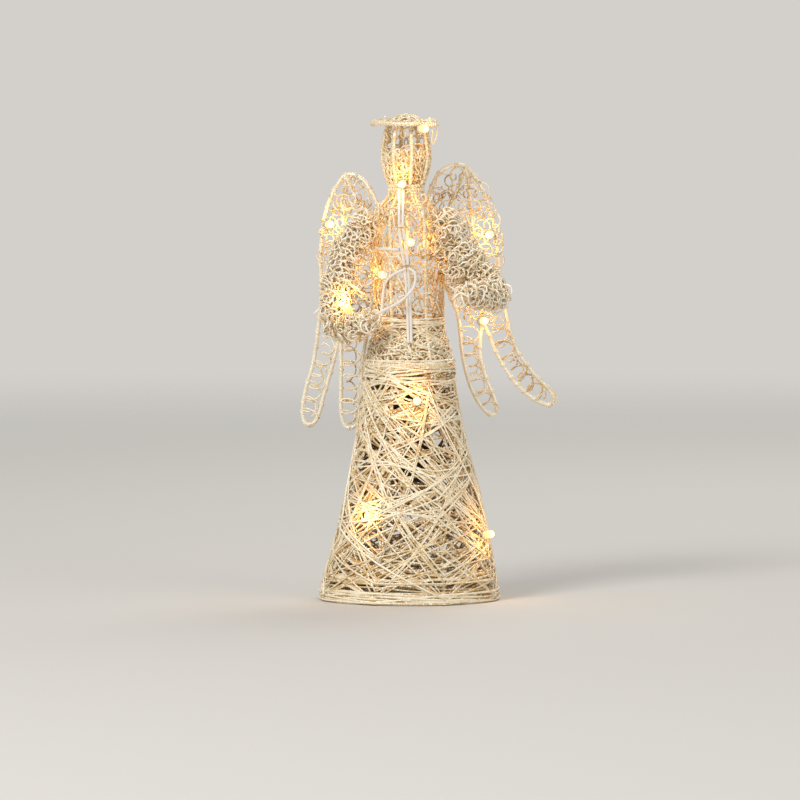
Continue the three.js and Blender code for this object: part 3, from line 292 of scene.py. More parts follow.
# Lace of the wings
LOBE_TOP = 6                     # which point of the lobe its two sides part at
NET_TOP, NET_FOOT = 53.4, -43
WING_ROW = 5.2                   # between rows of the lace net
ROW_MARGIN = 2                   # from the wing's wire to the end of a row
ROW_LEAST = 5                    # shorter rows are left out
ROW_STEPS = 30
ROW_KNOTS, ROW_WANDER = 5, 1.6
EDGE_STEPS = 90
EDGE_RUNS = {                    # first and last step along the lobe, and how far out from its wire
    "left": (52, 64, -1), "right": (42, 84, 0.6),
}
INNER_STEPS = 60
INNER_MARGIN = 1.2
FEATHER_RUN = (-0.12, 0.94)      # shares of a feather's length
FEATHER_STEPS = 40
FEATHER_MARGIN = 1.4
FEATHER_CORE = slice(4, -3)      # the steps that have rounder loops as well
CORE_LOOP = 3                    # a feather is this many times as wide as those loops' radius
NET_LIFT = 1.2                   # from the wing's face
LIFT_KNOTS, LIFT_WANDER = 6, 0.8
ROW_CURL = dict(loop=3.3, pitch=5.4, depth=1.5, squash=0.85)
EDGE_CURL = dict(loop=2.7, pitch=6.4, depth=1.2)
INNER_CURL = dict(loop=2.3, pitch=5.4, depth=1.4)
FEATHER_CURL = dict(pitch=8.4, depth=0.9, squash=0.5)
CORE_CURL = dict(pitch=11, depth=0.9, squash=0.9)
WING_CURL = dict(rough=0.3, wire=OPEN_LACE_WIRE)

# Arms and sleeves: heights from the waist ring
ARM_WIRE = 2.4
ARM_STEPS = 120
ARM_SIDE = [0.2, 1.0, 0.1]       # a direction that neither arm runs along
ARMS = {                         # places along each arm, and the radius of its sleeve there
    "left": [(-22, -1, 91, 8.4), (-31, -2, 79, 8.2), (-40, -3, 64, 8.2), (-43, -5, 46, 9),
             (-44.4, -9, 27, 8.4), (-37.6, -18, 21.6, 8), (-28, -27, 25.6, 6.6), (-22, -33, 30.2, 4.8)],
    "right": [(17.5, -1.5, 91, 9.6), (27, -4, 71, 12.2), (41, -6, 54, 10.6), (53, -11, 43.4, 8.8),
              (47.6, -24, 42, 7.4), (32, -38, 43.5, 5.8)],
}
SLEEVE_LAYERS = [                # share of the sleeve's radius, start, way round, loop and turns
    (0.6, 0, 1, 2.6, 13), (1, 120, -1, 2.4, 29),
]
SLEEVE_STEPS = 24                # in each turn
SLEEVE_WANDER = 0.08
SLEEVE_CURL = dict(pitch=3.3, depth=1.2, rough=0.32, steps=10, wire=SLEEVE_WIRE, tumble=0.8,
                   tones=(0.6, 0.66))
SHOULDER_LACE = {                # zigzags between each sleeve and the bodice
    "left": [(-33, -8, 85), (-23, -12, 80), (-33, -9, 73), (-23, -14, 67), (-34, -10, 60), (-23, -14, 54),
             (-35, -11, 47), (-25, -15, 41)],
    "right": [(13, -20, 83), (24, -16, 78), (15, -20, 71), (29, -17, 66), (18, -20, 59), (34, -18, 55),
              (23, -20, 48)],
}
SHOULDER_STEPS = 160
SHOULDER_CURL = dict(loop=3.2, pitch=4.2, depth=1.4, rough=0.34, wire=OPEN_LACE_WIRE, tumble=0.5,
                     tones=(0.45, 0.6))
LOOSE_ENDS = {                   # where the loose ends of each sleeve start, and where each one ends
    "left": ((-51, -8, 38), [(-58.6, -9, 30.6)]),
    "right": ((31, -43, 45), [(24.6, -45, 48.6), (26, -44, 40.4), (33.6, -44, 37.4), (36.4, -45, 42),
                              (34.6, -45, 50.4)]),
}
LOOSE_STEPS = 8

# Lamps
LAMPS = ("halo", "neck", "chest", "bodice", "wing_left", "wing_right", "wing_notch", "sleeve",
         "skirt_upper", "skirt_left", "skirt_right")
LAMP_SHIFT = {                   # from the solid's lamp to the place that the photograph shows
    "wing_left": (4, 0, 0), "wing_right": (-2, 0, 0), "bodice": (4, -7.5, -2), "sleeve": (2.3, 0, -1.3),
    "skirt_left": (6.3, 0, 6.4), "skirt_right": (4.5, 2.2, 6), "skirt_upper": (1.6, 0, -3.9),
    "halo": (-2, 1.6, -2.5), "wing_notch": (-1.3, 0, 1.3),
}
LAMP_LENGTH = 8
LENS_DIAMETER = 4.6
LENS_SEAT = 0.4                  # how deep the lens sits in its holder
LENS_GLOW = 1.3                  # strength of the lit lenses
DOME_ANGLES = np.linspace(0, 88, 9)   # degrees up the dome
HOLDER_DIAMETER = 5.2
HOLDER_LENGTH = 2.4
HOLDER_ROUND = 0.3               # at the foot
HOLDER_LIP = 0.2                 # round the lens
RIM_SHARE = 0.97                 # corners past this share of the widest radius are on the holder
AXIS_GAP = 0.1                   # radius of the flat in the middle of a turned end
GLOW_GAP = 2.6                   # from the dome to the middle of its glow
GLOW_PLACE = {"chest": -7, "bodice": -5}   # along the lamp from its base: these two shine inside the bodice
GLOW_POWER = 0.014
GLOW_COLOUR = "ffbe66"

# Leads and ties: heights from the waist ring
LEAD = 1.8
LEAD_STEPS = 12                  # for each place along a lead
LEADS = {
    "chest_lead_left": [(-6.1, -13.4, 107.2), (-6.1, -20.4, 97.4), (-6.1, -23.2, 84.4), (-5.2, -22.6, 73.4),
                        (-3.05, -22.4, 61.1), (-1.6, -22.2, 44.4), (-0.8, -22.8, 24.4), (-0.5, -24.6, 13.4)],
    "chest_lead_right": [(-3.7, -13.8, 107.2), (-3.7, -20.6, 97.4), (-3.7, -23.2, 84.4), (-2, -22.8, 74.9),
                         (-0.65, -22.4, 61.1), (0.3, -22.2, 44.4), (1.1, -22.8, 24.4), (1.4, -24.6, 13.4)],
    "cuff_lead": [(-0.3, -24.6, 59.4), (3.4, -25.4, 56.4), (3, -26, 48.4), (-3.5, -28.5, 40.4),
                  (-11, -31, 35.9), (-16, -33, 33.4), (-20.6, -33.4, 31.4)],
    "bodice_lead": [(-2, -23.6, 58.9), (-9.1, -21.6, 55.6), (-14.4, -18, 50.3), (-15.9, -16.4, 42.6),
                    (-16.5, -15.8, 33.2)],
    "wing_lead": [(-6.2, -22.5, 70.4), (-11.9, -20.9, 70.7), (-17.5, -14.5, 70.9), (-21.8, -5.5, 70.4),
                  (-22.5, -1.5, 69.9)],
    "battery_lead": [(4, 9, -11.5), (4, 8, -3.6), (2, 4, 14.4), (0, 0, 44.4), (-1, -3, 79.4),
                     (-1.8, -6.5, 100.4), (-1.8, -8.6, 106.6)],
}
TIES = [(-4.9, -22.4, 84.4), (-1.85, -22.4, 61.1)]
TIE_WIRE = 1
TIE_HALF = (3.2, 2)              # half width and half depth of a tie
TIE_STEPS = 48
TAIL_WIRE = 0.76                 # each of the two ends, which are twisted together
TAIL_TWIST = 0.42                # from the middle of the tail to the middle of an end
TAIL_TURN = 18                   # radians
TAIL_START = (2.6, -1.6, 0)
TAIL_REACH = (3.5, -2, -3)
TAIL_STEPS = 40
TAIL_SIDES = 8

# Battery pack inside the skirt
CELL_SIDES = 48
CELL_EDGE = 0.4                  # rolled edge of the jacket
CELL_FOOT, CELL_TOP = 0.9, 1     # width of the rim at each end
CELL_RIM = 0.1                   # height of the rim
BUTTON_RADIUS, BUTTON_HEIGHT = 1.9, 0.9
BUTTON_EDGE = 0.2
SPRING_WIRE = 0.7
SPRING_TURNS = 3
SPRING_STEPS = 120
WELD_GAP = 0.01                  # corners nearer than this are joined
EDGE_SEGMENTS = 2

# Materials: sizes and depths in millimetres, the rest as shares
GLOSS_SPREAD = 0.15              # how much rougher and smoother the film is from fleck to fleck
TWIST_STRENGTH, TWIST_DEPTH = 0.4, 0.2
WAVE_PERIOD = math.pi / 10       # length of one wave of a wave texture whose scale is 1
PLASTIC_IOR = 1.46
CLOUD_SIZE, CLOUD_SHADE = 9, 0.86     # of the patches in plastic, and how dark they are
GRAIN_STRENGTH, GRAIN_DEPTH = 0.25, 0.1
STREAK_STRETCH = (1, 1, 0.15)    # streaks run along Z
STREAK_GLOSS = 0.1               # how much rougher and smoother metal is from streak to streak

# Stage and light, in metres and watts
STUDIO_COLOUR = "d3d0cb"
FLOOR_RADIUS = 3.2
FLOOR_CLEAR = 0.7                # the floor starts to fade this far from its middle
FLOOR_CORNERS = 96
SOFTBOXES = [                    # name, place, size, power and colour
    ("key_softbox", (-1.3, -1.9, 1.7), 0.9, 43, "fffefc"),
    ("fill_softbox", (1.7, -1.7, 0.7), 1.6, 11, "fdfeff"),
    ("back_softbox", (0.5, 1.3, 1.6), 1.0, 12, "fffdf8"),
]
WORLD_COLOUR = "fbfbfb"
WORLD_LIGHT = 0.44

# One set of random numbers for each group of pieces
SEEDS = {"skirt": 11, "bodice": 23, "head": 37, "wings": 41, "sleeves": 53, "shoulders": 59}


def unit(vectors):
    """Vectors divided by their lengths."""
    return vectors / np.maximum(np.linalg.norm(vectors, axis=-1, keepdims=True), TINY)


def polar(degrees, radius, z):
    """Points at an angle from +X, a distance from the Z axis and a height."""
    angle = np.radians(degrees)
    parts = np.broadcast_arrays(radius * np.cos(angle), radius * np.sin(angle), z)
    return np.stack(parts, -1).astype(float)


def circle(radius, z, count, shift=0.0):
    """A level ring of points about the Z axis, or about a line beside it."""
    return polar(np.arange(count) * 360 / count, radius, z) + [shift, 0, 0]


def path_length(path):
    """The lengths of a path's steps, added up."""
    return np.linalg.norm(np.diff(path, axis=0), axis=1).sum()


def even_path(points, count):
    """Points spaced evenly along a line of short straight steps. Columns past the third go with them."""
    steps = np.linalg.norm(np.diff(points[:, :3], axis=0), axis=1)
    length = np.concatenate([[0], np.cumsum(steps)])
    at = np.linspace(0, length[-1], count)
    return np.stack([np.interp(at, length, points[:, k]) for k in range(points.shape[1])], -1)


def smooth_path(points, count, closed=False, even_knots=False):
    """Catmull-Rom curve: each point is a blend of blends of four neighbours, whose knots are apart by the
    square root of the distance between them, or by one each."""
    points = np.array(points, float)
    if closed:
        points = np.concatenate([points[-1:], points, points[:2]])
    else:
        first = points[0] if even_knots else 2 * points[0] - points[1]
        last = points[-1] if even_knots else 2 * points[-1] - points[-2]
        points = np.concatenate([[first], points, [last]])
    p = [points[k:len(points) - 3 + k, None] for k in range(4)]
    knots = [np.zeros((len(p[0]), 1, 1))]
    for k in range(3):
        gap = np.linalg.norm(p[k + 1] - p[k], axis=-1, keepdims=True)
        knots.append(knots[-1] + (np.ones_like(gap) if even_knots else np.sqrt(gap)))
    share = np.linspace(0, 1, CURVE_STEPS + 1)[None, :-1, None]
    t = knots[1] + (knots[2] - knots[1]) * share

    def blend(a, b, i, j):
        return ((knots[j] - t) * a + (t - knots[i]) * b) / (knots[j] - knots[i])

    low = blend(p[0], p[1], 0, 1)
    middle = blend(p[1], p[2], 1, 2)
    high = blend(p[2], p[3], 2, 3)
    curve = blend(blend(low, middle, 0, 2), blend(middle, high, 1, 3), 1, 2).reshape(-1, points.shape[1])
    curve = np.concatenate([curve, curve[:1] if closed else points[-2:-1]])
    return even_path(curve, count + 1)[:-1] if closed else even_path(curve, count)


def lifted_path(places, count, height):
    """A smooth path through places whose heights, in the third column, are from a height."""
    places = np.array(places, float)
    places[:, 2] += height
    return smooth_path(places, count)


def profile_radius(profile, z):
    """Radius of a smooth profile of (radius, height) points at a height."""
    line = smooth_path(profile, PROFILE_STEPS, even_knots=True)
    return np.interp(z, line[:, 1], line[:, 0])


def wander(draw, rows, count, knots, size):
    """Smooth random numbers along each row: random knots joined by straight lines."""
    at = np.linspace(0, knots - 1, count)
    weights = np.clip(1 - np.abs(at[None] - np.arange(knots)[:, None]), 0, 1)
    return draw.normal(0, size, (rows, knots)) @ weights


def frames(paths, reference, closed=False):
    """Directions along, across and beside a path. Across is the reference without its part along the path."""
    if closed:
        step = np.roll(paths, -1, axis=-2) - np.roll(paths, 1, axis=-2)
    else:
        step = np.gradient(paths, axis=-2)
    along = unit(step)
    across = unit(reference - np.sum(reference * along, -1, keepdims=True) * along)
    return along, across, np.cross(along, across)


def tubes(paths, radius, reference, sides=8, closed=False, tone=0.5):
    """A circle carried along every path: path + radius (across cos a + beside sin a), with flat ends. The UV
    map has the length along the path and the share of the way round."""
    paths = np.array(paths, float)
    paths = paths[None] if paths.ndim == 2 else paths
    rows, count = paths.shape[:2]
    _, across, beside = frames(paths, np.broadcast_to(reference, paths.shape), closed)
    angle = np.arange(sides) * 2 * np.pi / sides
    ring = across[:, :, None] * np.cos(angle)[:, None] + beside[:, :, None] * np.sin(angle)[:, None]
    wide = np.broadcast_to(radius, (rows, count))[..., None, None]
    corners = (paths[:, :, None] + wide * ring).reshape(-1, 3)
    index = np.arange(len(corners)).reshape(rows, count, sides)
    near = index if closed else index[:, :-1]
    far = np.roll(index, -1, axis=1) if closed else index[:, 1:]
    walls = np.stack([near, np.roll(near, -1, 2), np.roll(far, -1, 2), far], -1).reshape(-1, 4)
    step = np.linalg.norm(np.diff(paths, axis=1, append=paths[:, :1]), axis=-1)
    length = np.cumsum(step, axis=1) - step
    start = (length if closed else length[:, :-1])[..., None] + np.zeros(sides)
    end = start + (step if closed else step[:, :-1])[..., None]
    left = np.broadcast_to(np.arange(sides) / sides, start.shape)
    right = left + 1 / sides
    wall_uv = np.stack([np.stack([start, start, end, end], -1), np.stack([left, right, right, left], -1)], -1)
    faces, uv = [walls.ravel()], [wall_uv.reshape(-1, 2)]
    sizes = [np.full(len(walls), 4)]
    if not closed:
        caps = np.concatenate([index[:, 0, ::-1], index[:, -1]])
        faces.append(caps.ravel())
        uv.append(np.zeros((caps.size, 2)))
        sizes.append(np.full(len(caps), sides))
    tone = np.array(tone, float)
    tones = np.broadcast_to(tone.reshape(tone.shape + (1,) * (3 - tone.ndim)), (rows, count, sides)).ravel()
    return corners, np.concatenate(faces), np.concatenate(sizes), np.concatenate(uv), tones


def turned(profile, base, axis, count=TURNED_SIDES):
    """A profile of (radius, distance) points turned about an axis that starts at base. The tone is the share
    of the way along the axis."""
    profile = np.array(profile, float)
    axis = unit(np.array(axis, float))
    across = unit(np.cross(axis, UP if abs(axis[2]) < STEEP else ACROSS))
    beside = np.cross(axis, across)
    angle = np.arange(count) * 2 * np.pi / count
    ring = across * np.cos(angle)[:, None] + beside * np.sin(angle)[:, None]
    corners = np.array(base) + profile[:, 1, None, None] * axis + profile[:, 0, None, None] * ring
    index = np.arange(corners.shape[0] * count).reshape(-1, count)
    near, far = index[:-1], index[1:]
    walls = np.stack([near, np.roll(near, -1, 1), np.roll(far, -1, 1), far], -1).reshape(-1, 4)
    caps = np.stack([index[0, ::-1], index[-1]])
    faces = np.concatenate([walls.ravel(), caps.ravel()])
    sizes = np.concatenate([np.full(len(walls), 4), np.full(2, count)])
    uv = np.zeros((len(faces), 2))
    share = (profile[:, 1] - profile[0, 1]) / (profile[-1, 1] - profile[0, 1])
    return corners.reshape(-1, 3), faces, sizes, uv, np.repeat(share, count)


def make_piece(name, surfaces, material, body="angel", replaces=()):
    """One mesh object from several surfaces, in metres, riding on a body."""
    first = np.cumsum([0] + [len(s[0]) for s in surfaces[:-1]])
    corners = np.concatenate([s[0] for s in surfaces]) * MM
    faces = np.concatenate([s[1] + start for s, start in zip(surfaces, first)])
    sizes = np.concatenate([s[2] for s in surfaces])
    mesh = bpy.data.meshes.new(name)
    mesh.vertices.add(len(corners))
    mesh.vertices.foreach_set("co", corners.astype(np.float32).ravel())
    mesh.loops.add(len(faces))
    mesh.loops.foreach_set("vertex_index", faces.astype(np.int32))
    mesh.polygons.add(len(sizes))
    mesh.polygons.foreach_set("loop_start", (np.cumsum(sizes) - sizes).astype(np.int32))
    mesh.polygons.foreach_set("use_smooth", sizes == 4)
    mesh.uv_layers.new(name="UVMap")
    uv = np.concatenate([s[3] for s in surfaces])
    mesh.uv_layers[0].data.foreach_set("uv", uv.astype(np.float32).ravel())
    tone = mesh.attributes.new("tone", "FLOAT", "POINT")
    tone.data.foreach_set("value", np.concatenate([s[4] for s in surfaces]).astype(np.float32))
    mesh.update(calc_edges=True)
    mesh.validate()
    piece = bpy.data.objects.new(name, mesh)
    bpy.context.scene.collection.objects.link(piece)
    mesh.materials.append(material)
    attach(piece, body)
    if replaces:
        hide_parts(*replaces)


# Materials: each one starts from what the real finish is
def linear(code):
    """An sRGB hex colour as linear RGBA."""
    value = np.array([int(code[k:k + 2], 16) for k in (0, 2, 4)]) / 255
    value = np.where(value <= 0.04045, value / 12.92, ((value + 0.055) / 1.055) ** 2.4)
    return (*value.tolist(), 1.0)


def add(tree, kind, inputs=None, stops=(), **settings):
    """Adds one shader node. An input is a plain value or another node's output. Stops are the places and hex
    colours of a colour ramp."""
    made = tree.nodes.new(kind)
    for name, value in settings.items():
        setattr(made, name, value)
    for key, value in (inputs or {}).items():
        if isinstance(value, bpy.types.NodeSocket):
            tree.links.new(value, made.inputs[key])
        else:
            made.inputs[key].default_value = value
    for k, (place, code) in enumerate(stops):
        if k == len(made.color_ramp.elements):
            made.color_ramp.elements.new(1)
        made.color_ramp.elements[k].position = place
        made.color_ramp.elements[k].color = linear(code)
    return made


def start_material(name, **sockets):
    """A material with a Principled shader whose constant sockets are set."""
    material = bpy.data.materials.new(name)
    material.use_nodes = True
    tree = material.node_tree
    shader = tree.nodes["Principled BSDF"]
    for key, value in sockets.items():
        shader.inputs[key.replace("_", " ")].default_value = value
    return material, tree, shader


def per_mm(size):
    """Texture scale on Object coordinates, which are in metres, for a pattern of that many millimetres."""
    return 1 / (size * MM)


def twist_bump(tree, pitch):
    """Bump of a thread's twist: waves at 45 degrees across its UV map, so that each one climbs once round the
    thread in each pitch of its length. Along either axis a wave is root two longer than straight across."""
    place = add(tree, "ShaderNodeUVMap", uv_map="UVMap")
    period = math.sqrt(2) * WAVE_PERIOD
    mapping = add(tree, "ShaderNodeMapping", {"Vector": place.outputs["UV"],
                                              "Rotation": (0, 0, -math.pi / 4),
                                              "Scale": (period / pitch, period, 1)})
    wave = add(tree, "ShaderNodeTexWave", {"Vector": mapping.outputs["Vector"], "Scale": 1.0,
                                           "Distortion": 1.5, "Detail": 1.0}, bands_direction="X")
    bump = add(tree, "ShaderNodeBump", {"Height": wave.outputs["Fac"], "Strength": TWIST_STRENGTH,
                                        "Distance": TWIST_DEPTH * MM})
    return bump.outputs["Normal"]


def glittered(name, stops, glint_fleck, metallic, roughness, patch, glint_fleck_size, glint_fleck_share, twist):
    """Metallised film on twisted thread or wire: patches of lighter and darker film, a tone for each strand,
    and glitter flecks whose base colour is near-white, as painted glints. The flecks are drawn coarse enough
    to show."""
    material, tree, shader = start_material(name, Metallic=metallic)
    place = add(tree, "ShaderNodeTexCoord").outputs["Object"]
    noise = add(tree, "ShaderNodeTexNoise", {"Vector": place, "Scale": per_mm(patch), "Detail": 3.0})
    strand = add(tree, "ShaderNodeAttribute", attribute_name="tone")
    both = add(tree, "ShaderNodeMath", {0: noise.outputs["Fac"], 1: strand.outputs["Fac"]}, operation="ADD")
    mean = add(tree, "ShaderNodeMath", {0: both.outputs["Value"], 1: 0.5}, operation="MULTIPLY")
    film = add(tree, "ShaderNodeValToRGB", {"Fac": mean.outputs["Value"]}, stops)
    cells = add(tree, "ShaderNodeTexVoronoi", {"Vector": place, "Scale": per_mm(glint_fleck_size)})
    level = add(tree, "ShaderNodeSeparateColor", {"Color": cells.outputs["Color"]})
    # painted glints: the cells past this share get the near-white fleck colour
    glint_mask = add(tree, "ShaderNodeMath", {0: level.outputs["Red"], 1: 1 - glint_fleck_share},
                 operation="GREATER_THAN")
    mix = add(tree, "ShaderNodeMix", {0: glint_mask.outputs["Value"], 6: film.outputs["Color"], 7: linear(glint_fleck)},
              data_type="RGBA")
    tree.links.new(mix.outputs[2], shader.inputs["Base Color"])
    gloss = add(tree, "ShaderNodeMapRange", {"Value": level.outputs["Green"],
                                             "To Min": roughness - GLOSS_SPREAD,
                                             "To Max": roughness + GLOSS_SPREAD})
    tree.links.new(gloss.outputs["Result"], shader.inputs["Roughness"])
    tree.links.new(twist_bump(tree, twist), shader.inputs["Normal"])
    return material


def lamp_glass():
    """Clear domed epoxy over a lit warm white chip: it glows all over, whitest at the tip of the dome."""
    material, tree, shader = start_material("lit_epoxy_lens", Base_Color=linear("c48f3a"), Roughness=0.12,
                                            IOR=1.5, Emission_Strength=LENS_GLOW)
    height = add(tree, "ShaderNodeAttribute", attribute_name="tone")
    glow = add(tree, "ShaderNodeValToRGB", {"Fac": height.outputs["Fac"]},
               [(0.1, "ffcb62"), (0.6, "ffe6a0"), (1, "fff8dc")])
    tree.links.new(glow.outputs["Color"], shader.inputs["Emission Color"])
    return material


def moulded(name, code, roughness, grain):
    """Moulded plastic: one colour with a little cloud, and the fine spark-eroded grain of its mould."""
    material, tree, shader = start_material(name, Roughness=roughness, IOR=PLASTIC_IOR)
    place = add(tree, "ShaderNodeTexCoord").outputs["Object"]
    cloud = add(tree, "ShaderNodeTexNoise", {"Vector": place, "Scale": per_mm(CLOUD_SIZE), "Detail": 2.0})
    base = linear(code)
    dark = (*[level * CLOUD_SHADE for level in base[:3]], 1.0)
    mix = add(tree, "ShaderNodeMix", {0: cloud.outputs["Fac"], 6: dark, 7: base}, data_type="RGBA")
    tree.links.new(mix.outputs[2], shader.inputs["Base Color"])
    pits = add(tree, "ShaderNodeTexNoise", {"Vector": place, "Scale": per_mm(grain), "Detail": 2.0})
    bump = add(tree, "ShaderNodeBump", {"Height": pits.outputs["Fac"], "Strength": GRAIN_STRENGTH,
                                        "Distance": GRAIN_DEPTH * MM})
    tree.links.new(bump.outputs["Normal"], shader.inputs["Normal"])
    return material


def plated(name, code, roughness, streak):
    """Plated metal: drawn or rolled streaks that change the gloss a little."""
    material, tree, shader = start_material(name, Base_Color=linear(code), Metallic=1.0)
    place = add(tree, "ShaderNodeTexCoord").outputs["Object"]
    mapping = add(tree, "ShaderNodeMapping", {"Vector": place, "Scale": STREAK_STRETCH})
    noise = add(tree, "ShaderNodeTexNoise", {"Vector": mapping.outputs["Vector"], "Scale": per_mm(streak)})
    gloss = add(tree, "ShaderNodeMapRange", {"Value": noise.outputs["Fac"],
                                             "To Min": roughness - STREAK_GLOSS,
                                             "To Max": roughness + STREAK_GLOSS})
    tree.links.new(gloss.outputs["Result"], shader.inputs["Roughness"])
    return material


# Pale champagne plating: a soft shine that the bright flecks, painted glints, break up
GOLD_WIRE = glittered(
    "champagne_plated_wire", [(0.25, "cfb280"), (0.5, "ead8b2"), (0.75, "f8efda")], "fffaf0",
    metallic=0.25, roughness=0.4, patch=6, glint_fleck_size=0.8, glint_fleck_share=0.12, twist=1.6)
# Film wound on thread: from deep gold in the shade to nearly white, strand by strand
GLITTER_THREAD = glittered(
    "metallised_thread", [(0.22, "9a723b"), (0.45, "dabb84"), (0.68, "f8ecd0")], "fffaea",
    metallic=0.15, roughness=0.42, patch=5, glint_fleck_size=0.8, glint_fleck_share=0.16, twist=1.5)
# Crimped gold wire: glossier than the thread, with smaller flecks painted as glints
LACE_FILM = glittered(
    "crimped_lace_wire", [(0.22, "a97e3d"), (0.45, "dcbb7d"), (0.68, "f7e8c8")], "fffdf2",
    metallic=0.12, roughness=0.34, patch=5, glint_fleck_size=0.7, glint_fleck_share=0.14, twist=1.2)
# The sleeves' wire: the palest and glossiest of the four, with the most flecks painted as glints
SLEEVE_FILM = glittered(
    "silver_champagne_lace", [(0.24, "b08443"), (0.46, "ebcf99"), (0.68, "fdf3de")], "fffdf6",
    metallic=0.12, roughness=0.32, patch=4, glint_fleck_size=0.7, glint_fleck_share=0.18, twist=1.2)
LENS = lamp_glass()
# Cream plastic that looks soft beside the lit lens
HOLDER = moulded("milky_lamp_holder", "efe6d0", roughness=0.45, grain=0.5)
# White skin with a dull shine along its length
LEAD_SKIN = moulded("white_soft_pvc", "efebe2", roughness=0.42, grain=0.6)
# Soft warm grey metal with a dull gleam
TIE_METAL = plated("tinned_tie_wire", "cfc3a6", roughness=0.38, streak=0.8)
# Dull black with a fine grain
CASE_PLASTIC = moulded("black_moulded_abs", "2b2b2d", roughness=0.55, grain=0.45)
# The same grain in white, which shows against the case
SWITCH_PLASTIC = moulded("white_moulded_abs", "ece8dc", roughness=0.48, grain=0.45)
# Grey lacquer over steel, which shines in streaks
CELL_JACKET = plated("lacquered_cell_jacket", "6d7277", roughness=0.4, streak=1.2)
# Bright pale metal, the smoothest one here
NICKEL = plated("nickel_plated_steel", "c3c1bb", roughness=0.3, streak=0.7)
CASE_FINISHES = {                # material and softened edge of the nodes that keep their solid's shape
    "battery_case": (CASE_PLASTIC, 0.5), "battery_cover": (CASE_PLASTIC, 0.35),
    "switch_slider": (SWITCH_PLASTIC, 0.3), "bridge_plate": (NICKEL, 0.1), "positive_plate": (NICKEL, 0.1),
}


# Wound thread and curled wire
def winding(path, reference, distance, pitch, closed=False):
    """Thread wound round a path: path + distance (across cos a + beside sin a), once round in each pitch. The
    path's own direction comes with it, which is never along the thread."""
    ends = np.concatenate([path, path[:1]]) if closed else path
    turns = round(path_length(ends) / pitch)
    count = turns * WINDING_STEPS
    line = even_path(ends, count + 1)[:-1] if closed else even_path(ends, count)
    along, across, beside = frames(line, np.broadcast_to(reference, line.shape), closed)
    turn = np.linspace(0, 2 * np.pi * turns, count, endpoint=not closed)[:, None]
    return line + distance * (across * np.cos(turn) + beside * np.sin(turn)), along


def wound_wire(path, reference, wire, closed=False, pitch=BINDING_PITCH):
    """A wire and the thin thread that is wound round it."""
    thread, along = winding(path, reference, wire / 2 + BINDING_OFF, pitch, closed)
    return [tubes(path, wire / 2, reference, WIRE_SIDES, closed),
            tubes(thread, BINDING / 2, along, LACE_SIDES, closed, tone=BINDING_TONE)]


def curled(draw, spine, outward, loop, pitch, depth, rough=0.22, steps=12, squash=1.0, wire=LACE_WIRE,
           tumble=0.0, tones=(0.35, 0.9)):
    """Lace wire in loops along a spine: spine + r (squash along cos a + beside' sin a) + depth outward
    cos(a + lean). The angle a turns once in each pitch, beside' is beside tipped outwards, and r, a, the tip
    and the lean wander. The wider loops are painted paler and the narrower ones darker: painted light on the
    outer curls and painted shade in the depth."""
    loops = max(LEAST_LOOPS, round(path_length(spine) / pitch))
    count = loops * steps
    line = even_path(np.concatenate([spine, outward], 1), count)
    along, across, beside = frames(line[:, :3], line[:, 3:])
    turn = 2 * np.pi * loops * np.linspace(0, 1, count) + wander(draw, 1, count, loops, rough * 2)[0]
    wide = loop * (1 + wander(draw, 1, count, loops * 2, rough)[0])
    lean = turn + wander(draw, 1, count, loops, LEAN_WANDER)[0]
    lift = depth * (np.cos(lean) + wander(draw, 1, count, loops, rough)[0])
    tip = wander(draw, 1, count, loops, tumble)[0][:, None]
    tipped = beside * np.cos(tip) + across * np.sin(tip)
    face = across * np.cos(tip) - beside * np.sin(tip)
    path = (line[:, :3] + along * (squash * wide * np.cos(turn))[:, None]
            + tipped * (wide * np.sin(turn))[:, None] + across * lift[:, None])
    # painted light and shade: wide loops are made paler and narrow ones darker
    tone = np.clip(draw.uniform(*tones) + LOOP_PAINTED_LIGHT * (wide / loop - 1), 0, 1)
    return tubes(path, wire / 2, face, LACE_SIDES, tone=tone[None])


def knotted_wire(draw, path, reference, wire, closed=False):
    """A smooth wire, and short bindings of thread where the lace is tied to it."""
    ends = np.concatenate([path, path[:1]]) if closed else path
    length = path_length(ends)
    line = even_path(ends, round(length / KNOT_STEP))
    knots = np.cumsum(draw.uniform(*KNOT_GAP, int(length / KNOT_GAP[1])))
    made = [tubes(path, wire / 2, reference, FINE_SIDES, closed, tone=SMOOTH_TONE)]
    for start in (knots / KNOT_STEP).astype(int):
        section = line[start:start + round(KNOT_LENGTH / KNOT_STEP)]
        if len(section) > 2:
            coil, along = winding(section, reference, wire / 2 + KNOT_OFF, KNOT_PITCH)
            made.append(tubes(coil, KNOT_THREAD / 2, along, LACE_SIDES, tone=SMOOTH_TONE))
    return made


# Skirt
def rib_radius(z):
    """Outer radius of the skirt's ribs at a height."""
    return profile_radius(SKIRT_PROFILE, z)


def sway(place):
    """Moves the middle of the skirt to the right by a half sine wave of the height."""
    share = np.clip(place[..., 2] / SWAY_HEIGHT, 0, 1)
    place[..., 0] += SKIRT_SWAY * np.sin(np.pi * share)
    return place


def skirt_points(across, z, layer):
    """Places on the panels between ribs. Across counts ribs. On a flat panel the radius is cos(half panel) /
    cos(angle) of the rib's, and these panels are part of the way from round to flat."""
    half = math.radians(RIB_STEP / 2)
    past = np.arctan(((across % 1) * 2 - 1) * math.tan(half))
    degrees = RIB_STEP * (np.floor(across) + 1) + np.degrees(past)
    flat = 1 - PANEL_FLAT * (1 - math.cos(half) / np.cos(past))
    return sway(polar(degrees, (rib_radius(z) + layer) * flat, z))


def folded(z, low, high):
    """Heights turned back at the ends of the skirt."""
    room = high - low
    return high - np.abs((z - low) % (2 * room) - room)


